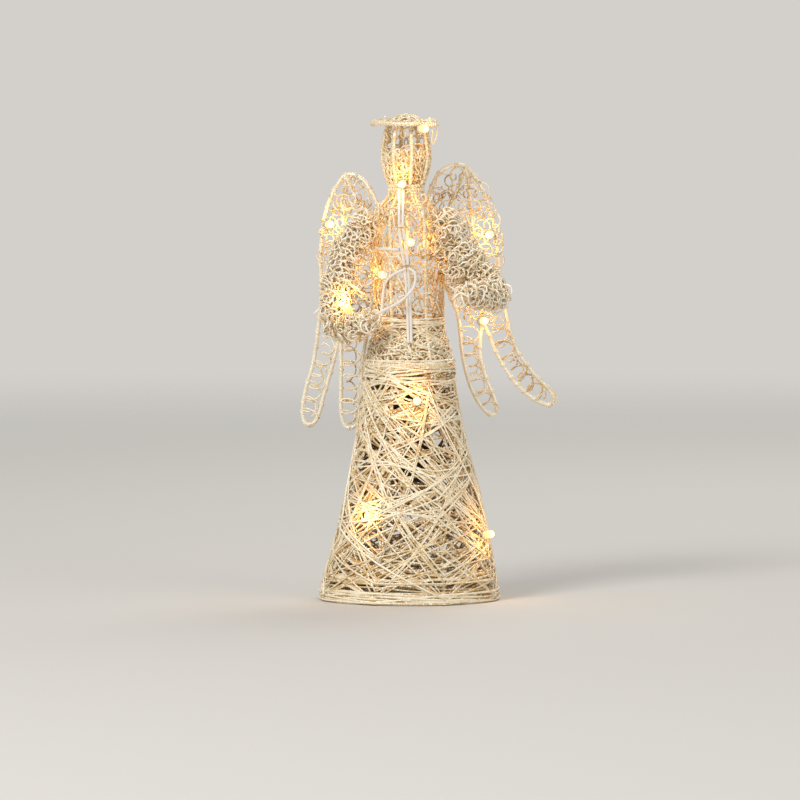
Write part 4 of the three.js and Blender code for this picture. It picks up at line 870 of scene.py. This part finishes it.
def strands(draw, starts, turns, heights, layers, tones):
    """Threads that run straight from rib to rib, given the rib where each starts, the way it goes round, its
    height at each rib, and the range of its distance from the ribs and of its tone."""
    rows, ribs = heights.shape
    at = np.arange((ribs - 1) * STRAND_STEPS + 1) / STRAND_STEPS
    low = np.minimum(np.floor(at).astype(int), ribs - 2)
    share = at - low
    z = heights[:, low] * (1 - share) + heights[:, low + 1] * share
    layer = draw.uniform(*layers, (rows, 1)) + wander(draw, rows, len(at), ribs, LAYER_WANDER)
    paths = skirt_points(starts[:, None] + turns[:, None] * at, z, layer)
    width = THREAD / 2 * draw.uniform(*STRAND_WIDTHS, (rows, 1))
    width = width * (1 + wander(draw, rows, len(at), ribs * 2, WIDTH_WANDER))
    return tubes(paths, width, paths * [1, 1, 0], THREAD_SIDES, tone=draw.uniform(*tones, rows))


def paired_thread(draw):
    """Gentle, middling and steep threads in pairs, whose climb changes at some of the ribs. Half of the pairs
    lie under the other half and are painted darker, as painted shade."""
    every = (THREAD_PAIRS, PAIR_RIBS)
    climb = draw.choice(CLIMBS, every, p=CLIMB_SHARES)
    climb = climb * draw.uniform(*CLIMB_SPREAD, every) * draw.choice([-1, 1], every)
    for k in range(1, PAIR_RIBS):
        climb[:, k] = np.where(draw.random(THREAD_PAIRS) < CLIMB_KEPT, climb[:, k - 1], climb[:, k])
    height = draw.uniform(SKIRT_LOW, SKIRT_HIGH, (THREAD_PAIRS, 1)) + np.cumsum(climb, axis=1)
    both = np.repeat(height, 2, axis=0) + draw.normal(0, PAIR_SPREAD, (THREAD_PAIRS * 2, PAIR_RIBS))
    heights = folded(both, SKIRT_LOW, SKIRT_HIGH)
    starts = np.repeat(draw.integers(0, RIB_COUNT, THREAD_PAIRS), 2).astype(float)
    turns = np.repeat(draw.choice([-1.0, 1.0], THREAD_PAIRS), 2)
    half = len(heights) // 2
    under = strands(draw, starts[:half], turns[:half], heights[:half], UNDER_LAYERS, UNDER_SHADE_TONES)
    over = strands(draw, starts[half:], turns[half:], heights[half:], OVER_LAYERS, OVER_LIGHT_TONES)
    return [under, over]


def skirt_thread():
    """Random winding: threads in pairs, close wraps under the waist and over the hem, and fans that spread
    from the foot of each rib."""
    draw = np.random.default_rng(SEEDS["skirt"])
    made = paired_thread(draw)
    for rows, low, high, drift, layers in SKIRT_WRAPS:
        heights = draw.uniform(low, high, (rows, 1))
        heights = folded(heights + np.cumsum(draw.normal(0, drift, (rows, WRAP_RIBS)), axis=1), low, high)
        starts = draw.integers(0, RIB_COUNT, rows).astype(float)
        turns = draw.choice([-1.0, 1.0], rows)
        made.append(strands(draw, starts, turns, heights, layers, WRAP_TONES))
    feet = np.tile(np.arange(RIB_COUNT), FAN_THREADS).astype(float)
    rise = draw.uniform(*FAN_RISES, (len(feet), 1)) * FAN_SHAPE
    turns = draw.choice([-1.0, 1.0], len(feet))
    fans = folded(SKIRT_LOW + rise, SKIRT_LOW, SKIRT_HIGH)
    made.append(strands(draw, feet, turns, fans, FAN_LAYERS, FAN_TONES))
    return made


def make_skirt():
    """The hem and the waist ring with their close thread, the ribs between them and the thread over the ribs.
    The hem's thread is flattened where it stands on the floor."""
    hem = circle(HEM_RADIUS, HEM_HEIGHT, HEM_STEPS)
    core = circle(HEM_RADIUS, HEM_CORE_HEIGHT, HEM_STEPS)
    wraps, along = winding(hem, UP, HEM_WRAP_RADIUS, CLOSE_PITCH, True)
    wraps[:, 2] = np.maximum(wraps[:, 2], HEM_THREAD / 2)
    bound_hem = [tubes(core, HEM_CORE / 2, UP, FINE_SIDES, True),
                 tubes(wraps, HEM_THREAD / 2, along, LACE_SIDES, True, tone=HEM_TONE)]
    make_piece("hem_bound_wire", bound_hem, GLITTER_THREAD, replaces=["hem_ring"])
    waist = wound_wire(circle(WAIST_RADIUS, WAIST_HEIGHT, RING_STEPS), UP, WAIST_WIRE, True, CLOSE_PITCH)
    make_piece("waist_bound_wire", waist, GLITTER_THREAD, replaces=["waist_ring"])
    z = np.linspace(HEM_HEIGHT / 2, WAIST_HEIGHT + WAIST_WIRE / 2, RIB_STEPS)
    for k in range(RIB_COUNT):
        degrees = (k + 0.5) * RIB_STEP
        rib = sway(polar(degrees, rib_radius(z) - RIB_WIRE / 2, z))
        make_piece(f"skirt_rib_wire_{k + 1}", wound_wire(rib, polar(degrees, 1, 0), RIB_WIRE), GOLD_WIRE,
                   replaces=[f"skirt_rib_{k + 1}"])
    make_piece("skirt_thread", skirt_thread(), GLITTER_THREAD, replaces=["skirt_winding"])


# Bodice and belt
def bodice_points(degrees, z, out=0.0):
    """Places on the bodice: its profile turned about Z, leaning sideways towards the neck."""
    share = np.clip((z - NARROW_HEIGHT) / (COLLAR_HEIGHT - NARROW_HEIGHT), 0, 1)
    place = polar(degrees, profile_radius(BODICE_PROFILE, z - WAIST_HEIGHT) + out, z)
    place[..., 0] += NECK_LEAN * share
    return place


def spiral(surface, low, high, turns, start=0, out=0.0):
    """A line that climbs round a surface of revolution, and the way out from the surface along it."""
    share = np.linspace(0, 1, int(abs(turns) * SPIRAL_STEPS) + 2)
    degrees = start + 360 * turns * share
    return surface(degrees, low + (high - low) * share, out), polar(degrees, 1, 0)


def belt_bands(draw):
    """Threads round the lower bodice: close turns inside, painted dark as painted shade, level turns at the
    top and over the waist ring, and short threads that cross between them."""
    bands = []
    for low, high, turns, out, tone in BELT_BANDS:
        line, way = spiral(bodice_points, WAIST_HEIGHT + low, WAIST_HEIGHT + high, turns, BAND_START * turns,
                           out)
        line[:, 2] += wander(draw, 1, len(line), turns * BAND_KNOTS, BAND_WANDER)[0]
        bands.append(tubes(line, BAND_THREAD / 2, way, THREAD_SIDES, tone=tone))
    for start in draw.uniform(0, 360, CROSS_THREADS):
        low = WAIST_HEIGHT + draw.uniform(*CROSS_LOW)
        high = WAIST_HEIGHT + draw.uniform(*CROSS_HIGH)
        turn = draw.choice([-1, 1]) * draw.uniform(*CROSS_TURNS)
        line, way = spiral(bodice_points, low, high, turn, start, CROSS_OUT)
        bands.append(tubes(line, THREAD / 2, way, THREAD_SIDES, tone=draw.uniform(*CROSS_TONES)))
    return bands


def bodice_net(draw):
    """Curls that climb round the bodice both ways, closer ones at the yoke, and loose threads over them."""
    net = []
    for low, high, turns, start, loop in BODICE_NETS:
        line, way = spiral(bodice_points, NARROW_HEIGHT + low, NARROW_HEIGHT + high, turns, start, NET_OUT)
        net.append(curled(draw, line, way, loop, **BODICE_CURL))
    for turns, start, out in YOKE_NETS:
        line, way = spiral(bodice_points, YOKE_FOOT, YOKE_TOP, turns, start, out)
        net.append(curled(draw, line, way, **YOKE_CURL))
    for low, high, most, count in BODICE_THREADS:
        for start in draw.uniform(0, 360, count):
            turn = most * (draw.choice([-1, 1]) * draw.uniform(*BODICE_TURNS))
            line, way = spiral(bodice_points, WAIST_HEIGHT + low, WAIST_HEIGHT + high, turn, start,
                               BODICE_THREAD_OUT)
            tone = draw.uniform(*BODICE_THREAD_TONES)
            net.append(tubes(line, OPEN_LACE_WIRE / 2, way, THREAD_SIDES, tone=tone))
    return net


def belt_curls(draw):
    """Tumbled curls inside the belt, in spirals round the lower bodice."""
    curls = []
    for low, high, turns, start, out, loop in BELT_CURLS:
        line, way = spiral(bodice_points, WAIST_HEIGHT + low, WAIST_HEIGHT + high, turns, start, out)
        curls.append(curled(draw, line, way, loop, **BELT_CURL))
    return curls


def make_bodice():
    """The bodice's wires, its collar, the net of lace inside them and the belt."""
    draw = np.random.default_rng(SEEDS["bodice"])
    foot, top = BODICE_PROFILE[0][1], BODICE_PROFILE[-1][1]
    z = np.linspace(WAIST_HEIGHT + foot, WAIST_HEIGHT + top, BODICE_STEPS)
    for k in range(BODICE_COUNT):
        degrees = k * 360 / BODICE_COUNT
        bent = wound_wire(bodice_points(degrees, z), polar(degrees + 90, 1, 0), BODICE_WIRE)
        make_piece(f"bodice_bent_wire_{k + 1}", bent, GOLD_WIRE,
                   replaces=[f"bodice_wire_{k + 1}"])
    collar = circle(COLLAR_RADIUS, COLLAR_HEIGHT, SMALL_RING_STEPS, NECK_LEAN)
    make_piece("collar_bound_ring", wound_wire(collar, UP, COLLAR_WIRE, True, RING_PITCH), GOLD_WIRE,
               replaces=["collar_ring"])
    make_piece("bodice_lace_net", bodice_net(draw), LACE_FILM, replaces=["bodice_lace"])
    make_piece("belt_curls", belt_curls(draw), LACE_FILM)
    make_piece("belt_thread", belt_bands(draw), GLITTER_THREAD, replaces=["belt_winding"])


# Head and halo
def head_points(degrees, z, out=0.0):
    """Places on the head: its profile turned about a line beside the Z axis."""
    place = polar(degrees, profile_radius(HEAD_PROFILE, z - NECK_HEIGHT) + out, z)
    place[..., 0] += NECK_LEAN
    return place


def halo_points(degrees, radius=HALO_RADIUS):
    """Places on the halo's tilted plane, by degrees from the front."""
    place = polar(FRONT + degrees, radius, HALO_HEIGHT)
    place[..., 2] -= place[..., 0] * math.tan(math.radians(HALO_TILT))
    return place + [HALO_SHIFT, 0, 0]


def head_cage():
    """The neck ring and the bent wires that meet at the top of the head, each with its thread."""
    neck = circle(COLLAR_RADIUS, NECK_HEIGHT, SMALL_RING_STEPS, NECK_LEAN)
    cage = wound_wire(neck, UP, CAGE_WIRE, True, RING_PITCH)
    line = smooth_path(HEAD_PROFILE, HEAD_STEPS, even_knots=True)
    for k in range(CAGE_RIBS):
        degrees = FRONT + CAGE_START + k * 360 / CAGE_RIBS
        rib = polar(degrees, line[:, 0], NECK_HEIGHT + line[:, 1]) + [NECK_LEAN, 0, 0]
        cage += wound_wire(rib, polar(degrees + 90, 1, 0), CAGE_WIRE)
    return cage


def halo_ring():
    """The halo's wire, its thread and its spokes. The wire swells by a bell curve where its ends join."""
    degrees = np.arange(RING_STEPS) * 360 / RING_STEPS
    ring = halo_points(degrees)
    swell = 1 + NUB_SWELL * np.exp(-(((degrees - NUB_PLACE) / NUB_REACH) ** 2))
    wraps, along = winding(ring, UP, HALO_WIRE / 2 + BINDING_OFF, HALO_PITCH, True)
    halo = [tubes(ring, HALO_WIRE / 2 * swell, UP, FINE_SIDES, True),
            tubes(wraps, HALO_THREAD / 2, along, LACE_SIDES, True, tone=HALO_TONE)]
    for rib in SPOKE_RIBS:
        angle = CAGE_START + rib * 360 / CAGE_RIBS
        outer = halo_points(angle)
        inner = head_points(FRONT + angle, outer[2], SPOKE_OFF)
        halo.append(tubes(np.linspace(inner, outer, SPOKE_STEPS), SPOKE_WIRE / 2, UP))
    return halo


def make_head():
    """The head's cage, the net of lace inside it, and the halo with its curls and loose ends."""
    draw = np.random.default_rng(SEEDS["head"])
    make_piece("head_bent_wires", head_cage(), GOLD_WIRE, replaces=["head_cage"])
    net = []
    for low, high, turns, start, loop, pitch in HEAD_NETS:
        line, way = spiral(head_points, NECK_HEIGHT + low, NECK_HEIGHT + high, turns, start, HEAD_NET_OUT)
        net.append(curled(draw, line, way, loop, pitch, HEAD_CURL_DEPTH))
    make_piece("head_lace_net", net, LACE_FILM, replaces=["head_lace"])
    make_piece("halo_bound_ring", halo_ring(), GOLD_WIRE, replaces=["halo_ring"])
    curls = []
    for start, end, radius, loop, depth in HALO_CURLS:
        line = halo_points(np.linspace(start, end, HALO_CURL_STEPS), radius) + [0, 0, HALO_CURL_RISE]
        curls.append(curled(draw, line, np.tile(UP, (len(line), 1)), loop, HALO_CURL_PITCH, depth))
    for places in HALO_ENDS:
        loose = smooth_path(places, HALO_END_STEPS) + [0, 0, HALO_HEIGHT]
        curls.append(tubes(loose, LACE_WIRE / 2, LOOSE_SIDE, THREAD_SIDES, tone=LOOSE_TONE))
    make_piece("halo_curls", curls, LACE_FILM, replaces=["halo_lace"])


# Wings
def wing_points(side, places, lift=0.0):
    """Wing places (out, up) as points: swept back from the root, lifted off the face and rolled about Y."""
    places = np.array(places, float)
    sweep = math.radians(WING_SWEEP)
    x = SIDES[side] * (places[..., 0] + lift * math.sin(sweep))
    y = WING_SEAT + (places[..., 0] - WING_ROOT) * math.tan(sweep) - lift * math.cos(sweep)
    roll = math.radians(WING_ROLL)
    up = places[..., 1]
    z = WING_CENTRE + x * math.sin(roll) + up * math.cos(roll)
    return np.stack([x * math.cos(roll) - up * math.sin(roll), y, z], -1)


def feather_place(feather, t, side):
    """A place along a feather: its middle line, bowed by a half sine wave, plus a side of its width, which
    rounds off at the tip."""
    root, tip = np.array(feather["root"]), np.array(feather["tip"])
    along = unit(tip - root)
    t = np.array(t, float)[..., None]
    across = side * feather["width"] / 2 * np.sqrt(1 - t ** TIP_ROUND) - feather["bow"] * np.sin(np.pi * t)
    return root + (tip - root) * t + np.array([-along[1], along[0]]) * across


def wing_outline(side):
    """The bent wire round a wing: lobe, outer feather, notch, inner feather and inner edge."""
    corners = list(WING_LOBES[side])
    for name in ("outer", "inner"):
        feather = FEATHERS[side][name]
        corners += [*feather_place(feather, FEATHER_STATIONS, 1), feather["tip"],
                    *feather_place(feather, FEATHER_STATIONS[::-1], -1)]
        if name == "outer":
            corners.append(FEATHERS[side]["notch"])
    return [tuple(corner) for corner in corners + WING_INNER]


def lobe_rows(draw, side):
    """Level rows from the inner to the outer wire of a lobe, whose heights wander."""
    lobe = WING_LOBES[side]
    outer = np.array(lobe[LOBE_TOP:] + [FEATHERS[side]["outer"]["root"]])[::-1]
    inner = np.array(lobe[LOBE_TOP::-1] + WING_INNER[::-1] + [FEATHERS[side]["inner"]["root"]])[::-1]
    rows = []
    for up in np.arange(NET_TOP, NET_FOOT, -WING_ROW):
        start = np.interp(up, inner[:, 1], inner[:, 0]) + ROW_MARGIN
        end = np.interp(up, outer[:, 1], outer[:, 0]) - ROW_MARGIN
        if end - start >= ROW_LEAST:
            height = up + wander(draw, 1, ROW_STEPS, ROW_KNOTS, ROW_WANDER)[0]
            rows.append(np.stack([np.linspace(start, end, ROW_STEPS), height], -1))
    return rows


def wing_net(draw, side, face):
    """Rows of loops across the lobe, loops along its outer and inner edges, and two rows in each feather."""
    rows = [(row, ROW_CURL) for row in lobe_rows(draw, side)]
    first, last, proud = EDGE_RUNS[side]
    rows.append((smooth_path(WING_LOBES[side], EDGE_STEPS)[first:last] + [proud, 0], EDGE_CURL))
    rows.append((smooth_path(WING_INNER, INNER_STEPS) + [INNER_MARGIN, 0], INNER_CURL))
    for name in ("outer", "inner"):
        feather = FEATHERS[side][name]
        middle = feather_place(feather, np.linspace(*FEATHER_RUN, FEATHER_STEPS), 0)
        rows.append((middle, dict(FEATHER_CURL, loop=feather["width"] / 2 - FEATHER_MARGIN)))
        rows.append((middle[FEATHER_CORE], dict(CORE_CURL, loop=feather["width"] / CORE_LOOP)))
    made = []
    for places, curl in rows:
        lift = NET_LIFT + wander(draw, 1, len(places), LIFT_KNOTS, LIFT_WANDER)[0]
        spine = wing_points(side, places, lift)
        made.append(curled(draw, spine, np.tile(face, (len(spine), 1)), **curl, **WING_CURL))
    return made


def make_wings():
    """Each wing's outline, two struts inside it, two bars at its root, and its net of lace."""
    draw = np.random.default_rng(SEEDS["wings"])
    for side in SIDES:
        face = unit(wing_points(side, FACE_PLACE, 1) - wing_points(side, FACE_PLACE))
        outline = smooth_path(wing_points(side, wing_outline(side)), OUTLINE_STEPS, closed=True)
        bent = knotted_wire(draw, outline, face, WING_WIRE, True)
        apex = WING_APEXES[side]
        ends = [(apex, FEATHERS[side]["notch"]), (apex, WING_INNER[2])]
        ends += [(place, (ROOT_REACH, place[1])) for place in (WING_INNER[1], WING_INNER[3])]
        for start, end in ends:
            strut = np.linspace(wing_points(side, start), wing_points(side, end), STRUT_STEPS)
            bent += knotted_wire(draw, strut, face, STRUT_WIRE)
        make_piece(f"wing_{side}_bent_wire", bent, GOLD_WIRE, replaces=[f"wing_{side}_frame"])
        make_piece(f"wing_{side}_net", wing_net(draw, side, face), LACE_FILM,
                   replaces=[f"wing_{side}_lace"])


# Arms and sleeves
def sleeve_lace(draw, arm):
    """Small loops in rows that wind round the arm: two spirals about the arm's line, one inside the other."""
    made = []
    for share, start, way, loop, turns in SLEEVE_LAYERS:
        count = turns * SLEEVE_STEPS
        line = even_path(arm, count)
        wide = share * line[:, 3] * (1 + wander(draw, 1, count, turns, SLEEVE_WANDER)[0])
        _, across, beside = frames(line[:, :3], np.broadcast_to(ARM_SIDE, (count, 3)))
        turn = (np.radians(start) + way * np.linspace(0, turns * 2 * np.pi, count))[:, None]
        out = across * np.cos(turn) + beside * np.sin(turn)
        made.append(curled(draw, line[:, :3] + out * wide[:, None], out, loop, **SLEEVE_CURL))
    return made


def shoulder_lace(draw, side):
    """Loops along a line that goes to and fro between a sleeve and the bodice, facing out from the Z axis."""
    line = lifted_path(SHOULDER_LACE[side], SHOULDER_STEPS, WAIST_HEIGHT)
    return curled(draw, line, unit(line * [1, 1, 0]), **SHOULDER_CURL)


def make_arms():
    """Each arm's wire with its thread, and the curls, shoulder lace and loose ends of its sleeve."""
    draw = np.random.default_rng(SEEDS["sleeves"])
    shoulder_draw = np.random.default_rng(SEEDS["shoulders"])
    for side, places in ARMS.items():
        arm = lifted_path(places, ARM_STEPS, WAIST_HEIGHT)
        make_piece(f"arm_{side}_bent_wire", wound_wire(arm[:, :3], ARM_SIDE, ARM_WIRE), GOLD_WIRE,
                   replaces=[f"arm_{side}_wire"])
        lace = sleeve_lace(draw, arm) + [shoulder_lace(shoulder_draw, side)]
        start, ends = LOOSE_ENDS[side]
        for end in ends:
            loose = np.linspace(start, end, LOOSE_STEPS) + [0, 0, WAIST_HEIGHT]
            lace.append(tubes(loose, LACE_WIRE / 2, LOOSE_SIDE, THREAD_SIDES, tone=LOOSE_TONE))
        make_piece(f"sleeve_{side}_curls", lace, SLEEVE_FILM, replaces=[f"sleeve_{side}_lace"])


# Lamps, leads and ties
def lamp_axis(node):
    """Base and direction of a lamp: the long axis of its CAD node, from the wide holder towards the dome."""
    mesh = bpy.data.objects[node].data
    corners = np.empty(len(mesh.vertices) * 3)
    mesh.vertices.foreach_get("co", corners)
    corners = corners.reshape(-1, 3)
    matrix = np.array(bpy.data.objects[node].matrix_world)
    corners = (corners @ matrix[:3, :3].T + matrix[:3, 3]) / MM
    centre = corners.mean(0)
    axis = np.linalg.svd(corners - centre, full_matrices=False)[2][0]
    along = (corners - centre) @ axis
    off = np.linalg.norm(corners - centre - along[:, None] * axis, axis=1)
    way = -np.sign(along[off > off.max() * RIM_SHARE].mean())
    return centre + way * axis * (along * way).min(), way * axis


def add_glow(lamp, place):
    """The warm light that a lamp throws on the wires about it."""
    light = bpy.data.lights.new(f"glow_{lamp}", "POINT")
    light.energy = GLOW_POWER
    light.color = linear(GLOW_COLOUR)[:3]
    light.shadow_soft_size = LENS_DIAMETER / 2 * MM
    made = bpy.data.objects.new(f"glow_{lamp}", light)
    made.location = place * MM
    bpy.context.scene.collection.objects.link(made)


def make_lamps():
    """Each lamp turned from two profiles: a short holder, and a lens with straight sides and a round dome."""
    rim = HOLDER_DIAMETER / 2
    radius = LENS_DIAMETER / 2
    holder = [(AXIS_GAP, 0), (rim - HOLDER_ROUND, 0), (rim, HOLDER_ROUND), (rim, HOLDER_LENGTH - HOLDER_LIP),
              (rim - HOLDER_LIP, HOLDER_LENGTH), (radius - HOLDER_LIP, HOLDER_LENGTH)]
    dome = np.radians(DOME_ANGLES)
    lens = [(radius, HOLDER_LENGTH - LENS_SEAT),
            *zip(radius * np.cos(dome), LAMP_LENGTH - radius + radius * np.sin(dome))]
    for lamp in LAMPS:
        base, axis = lamp_axis(f"light_{lamp}")
        base = base + LAMP_SHIFT.get(lamp, (0, 0, 0))
        add_glow(lamp, base + axis * GLOW_PLACE.get(lamp, LAMP_LENGTH + GLOW_GAP))
        make_piece(f"lamp_{lamp}_holder", [turned(holder, base, axis)], HOLDER)
        make_piece(f"lamp_{lamp}_lens", [turned(lens, base, axis)], LENS,
                   replaces=[f"light_{lamp}"])


def make_leads():
    """Each lead as a round skin along its smooth path."""
    for name, places in LEADS.items():
        path = lifted_path(places, len(places) * LEAD_STEPS, WAIST_HEIGHT)
        reach = np.abs(path[-1] - path[0])
        reference = ACROSS if reach[2] > max(reach[:2]) else UP
        make_piece(f"{name}_wire", [tubes(path, LEAD / 2, reference, FINE_SIDES)], LEAD_SKIN,
                   replaces=[name])


def make_ties():
    """Each tie as an oval ring, and a tail whose two ends turn about its line: line + twist (cos, sin)."""
    turn = np.arange(TIE_STEPS) * 2 * np.pi / TIE_STEPS
    oval = np.stack([TIE_HALF[0] * np.cos(turn), TIE_HALF[1] * np.sin(turn), 0 * turn], -1)
    share = np.linspace(0, 1, TAIL_STEPS)
    reach = np.stack([share, share, share ** 2], -1) * TAIL_REACH
    for k, place in enumerate(TIES):
        ring = oval + (np.array(place) + [0, 0, WAIST_HEIGHT])
        tail = TAIL_START + reach + ring.mean(0)
        ends = []
        for start in (0, np.pi):
            angle = TAIL_TURN * share + start
            ends.append(tail + TAIL_TWIST * np.stack([0 * share, np.cos(angle), np.sin(angle)], -1))
        tied = [tubes(ring, TIE_WIRE / 2, UP, WIRE_SIDES, True), tubes(ends, TAIL_WIRE / 2, UP, TAIL_SIDES)]
        make_piece(f"tie_{k + 1}_wire", tied, TIE_METAL, replaces=[f"chest_tie_{k + 1}"])


# Battery pack inside the skirt
def dress(node, material, edge):
    """Gives a CAD node its finish and softens its edges."""
    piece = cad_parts[node]
    piece.data.materials.clear()
    piece.data.materials.append(material)
    weld = piece.modifiers.new("joined_corners", "WELD")
    weld.merge_threshold = WELD_GAP * MM
    bevel = piece.modifiers.new("soft_edges", "BEVEL")
    bevel.width = edge * MM
    bevel.segments = EDGE_SEGMENTS
    bevel.limit_method = "ANGLE"


def make_cell(side, way):
    """A cell turned from its profile: a jacket with rolled edges, and a button at one end."""
    low, high = span(f"cell_{side}")
    radius = (high[0] - low[0]) / 2
    length = high[2] - low[2] - BUTTON_HEIGHT
    base = (low + high) / 2
    base[2] = low[2] if way > 0 else high[2]
    jacket = [(AXIS_GAP, 0), (radius - CELL_FOOT, 0), (radius - CELL_EDGE, CELL_RIM),
              (radius, CELL_EDGE + CELL_RIM), (radius, length - CELL_EDGE), (radius - CELL_EDGE, length),
              (radius - CELL_TOP, length - CELL_RIM), (AXIS_GAP, length - CELL_RIM)]
    foot, top = length - BUTTON_EDGE, length + BUTTON_HEIGHT
    button = [(AXIS_GAP, foot), (BUTTON_RADIUS, foot), (BUTTON_RADIUS, top - BUTTON_EDGE),
              (BUTTON_RADIUS - BUTTON_EDGE, top), (AXIS_GAP, top)]
    make_piece(f"cell_{side}_jacket", [turned(jacket, base, UP * way, CELL_SIDES)], CELL_JACKET,
               replaces=[f"cell_{side}"])
    make_piece(f"cell_{side}_button", [turned(button, base, UP * way)], NICKEL)


def make_spring(side):
    """A cell's spring: a wire that climbs evenly round the middle of its CAD node."""
    low, high = span(f"cell_spring_{side}")
    centre = (low + high) / 2
    share = np.linspace(0, 1, SPRING_STEPS)
    radius = (high[0] - low[0] - SPRING_WIRE) / 2
    height = low[2] + SPRING_WIRE / 2 + (high[2] - low[2] - SPRING_WIRE) * share
    coil = polar(360 * SPRING_TURNS * share, radius, height) + [centre[0], centre[1], 0]
    make_piece(f"spring_{side}_coil", [tubes(coil, SPRING_WIRE / 2, UP)], NICKEL,
               replaces=[f"cell_spring_{side}"])


def make_battery():
    """The finish of the case and its plates, and two cells that point opposite ways, each with its spring."""
    for node, (material, edge) in CASE_FINISHES.items():
        dress(node, material, edge)
    for side, way in (("left", 1), ("right", -1)):
        make_cell(side, way)
        make_spring(side)


# Stage, light and view
def paper_floor():
    """Matt pale card, which fades out with the distance from its middle into the pale studio round it."""
    material, tree, shader = start_material("matt_card", Base_Color=linear(STUDIO_COLOUR), Roughness=0.9)
    place = add(tree, "ShaderNodeTexCoord").outputs["Object"]
    distance = add(tree, "ShaderNodeVectorMath", {0: place}, operation="LENGTH")
    fade = add(tree, "ShaderNodeMapRange", {"Value": distance.outputs["Value"], "From Min": FLOOR_CLEAR,
                                            "From Max": FLOOR_RADIUS}, interpolation_type="SMOOTHSTEP")
    clear = add(tree, "ShaderNodeBsdfTransparent")
    mix = add(tree, "ShaderNodeMixShader", {0: fade.outputs["Result"], 1: shader.outputs["BSDF"],
                                            2: clear.outputs["BSDF"]})
    tree.links.new(mix.outputs["Shader"], tree.nodes["Material Output"].inputs["Surface"])
    return material


def make_stage():
    """A round flat floor: a circle of corners and one face."""
    corners = circle(FLOOR_RADIUS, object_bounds()[0][2], FLOOR_CORNERS)
    mesh = bpy.data.meshes.new("floor")
    mesh.from_pydata(corners.tolist(), [], [list(range(FLOOR_CORNERS))])
    mesh.materials.append(paper_floor())
    floor = bpy.data.objects.new("floor", mesh)
    bpy.context.scene.collection.objects.link(floor)


def add_light(name, place, size, power, code):
    """A square soft light that faces the middle of the angel."""
    lamp = bpy.data.lights.new(name, "AREA")
    lamp.size = size
    lamp.energy = power
    lamp.color = linear(code)[:3]
    made = bpy.data.objects.new(name, lamp)
    made.location = place
    aim = np.array(VIEW_CENTRE) * MM - np.array(place)
    tilt = math.atan2(math.hypot(aim[0], aim[1]), -aim[2])
    made.rotation_euler = (tilt, 0, math.atan2(aim[1], aim[0]) - math.pi / 2)
    bpy.context.scene.collection.objects.link(made)


def make_world():
    """Even light from all round, which the camera, metal and glass see as the pale studio."""
    world = bpy.data.worlds.new("studio")
    bpy.context.scene.world = world
    world.use_nodes = True
    tree = world.node_tree
    path = add(tree, "ShaderNodeLightPath")
    seen = add(tree, "ShaderNodeMath", {0: path.outputs["Is Camera Ray"], 1: path.outputs["Is Glossy Ray"]},
               operation="MAXIMUM")
    seen = add(tree, "ShaderNodeMath", {0: seen.outputs["Value"], 1: path.outputs["Is Transmission Ray"]},
               operation="MAXIMUM")
    light = add(tree, "ShaderNodeBackground", {"Color": linear(WORLD_COLOUR), "Strength": WORLD_LIGHT})
    pale = add(tree, "ShaderNodeBackground", {"Color": linear(STUDIO_COLOUR), "Strength": 1.0})
    mix = add(tree, "ShaderNodeMixShader", {0: seen.outputs["Value"], 1: light.outputs["Background"],
                                            2: pale.outputs["Background"]})
    tree.links.new(mix.outputs["Shader"], tree.nodes["World Output"].inputs["Surface"])


def set_camera():
    """A long lens at the photograph's pitch: distance x sensor / width of the view, so that scales agree."""
    camera = bpy.data.cameras.new("photo_view")
    camera.sensor_width = SENSOR
    camera.lens = CAMERA_DISTANCE * SENSOR / (PHOTO_PIXELS * PHOTO_SCALE)
    viewer = bpy.data.objects.new("photo_view", camera)
    pitch = math.radians(CAMERA_PITCH)
    back = np.array([0, -math.cos(pitch), math.sin(pitch)]) * CAMERA_DISTANCE
    viewer.location = (np.array(VIEW_CENTRE) + back) * MM
    viewer.rotation_euler = (math.pi / 2 - pitch, 0, 0)
    bpy.context.scene.collection.objects.link(viewer)
    bpy.context.scene.camera = viewer
    bpy.context.scene.view_settings.view_transform = "Standard"


set_camera()
make_leads()
make_ties()
make_skirt()
make_bodice()
make_head()
make_wings()
make_arms()
make_lamps()
make_battery()
make_stage()
make_world()
for softbox in SOFTBOXES:
    add_light(*softbox)
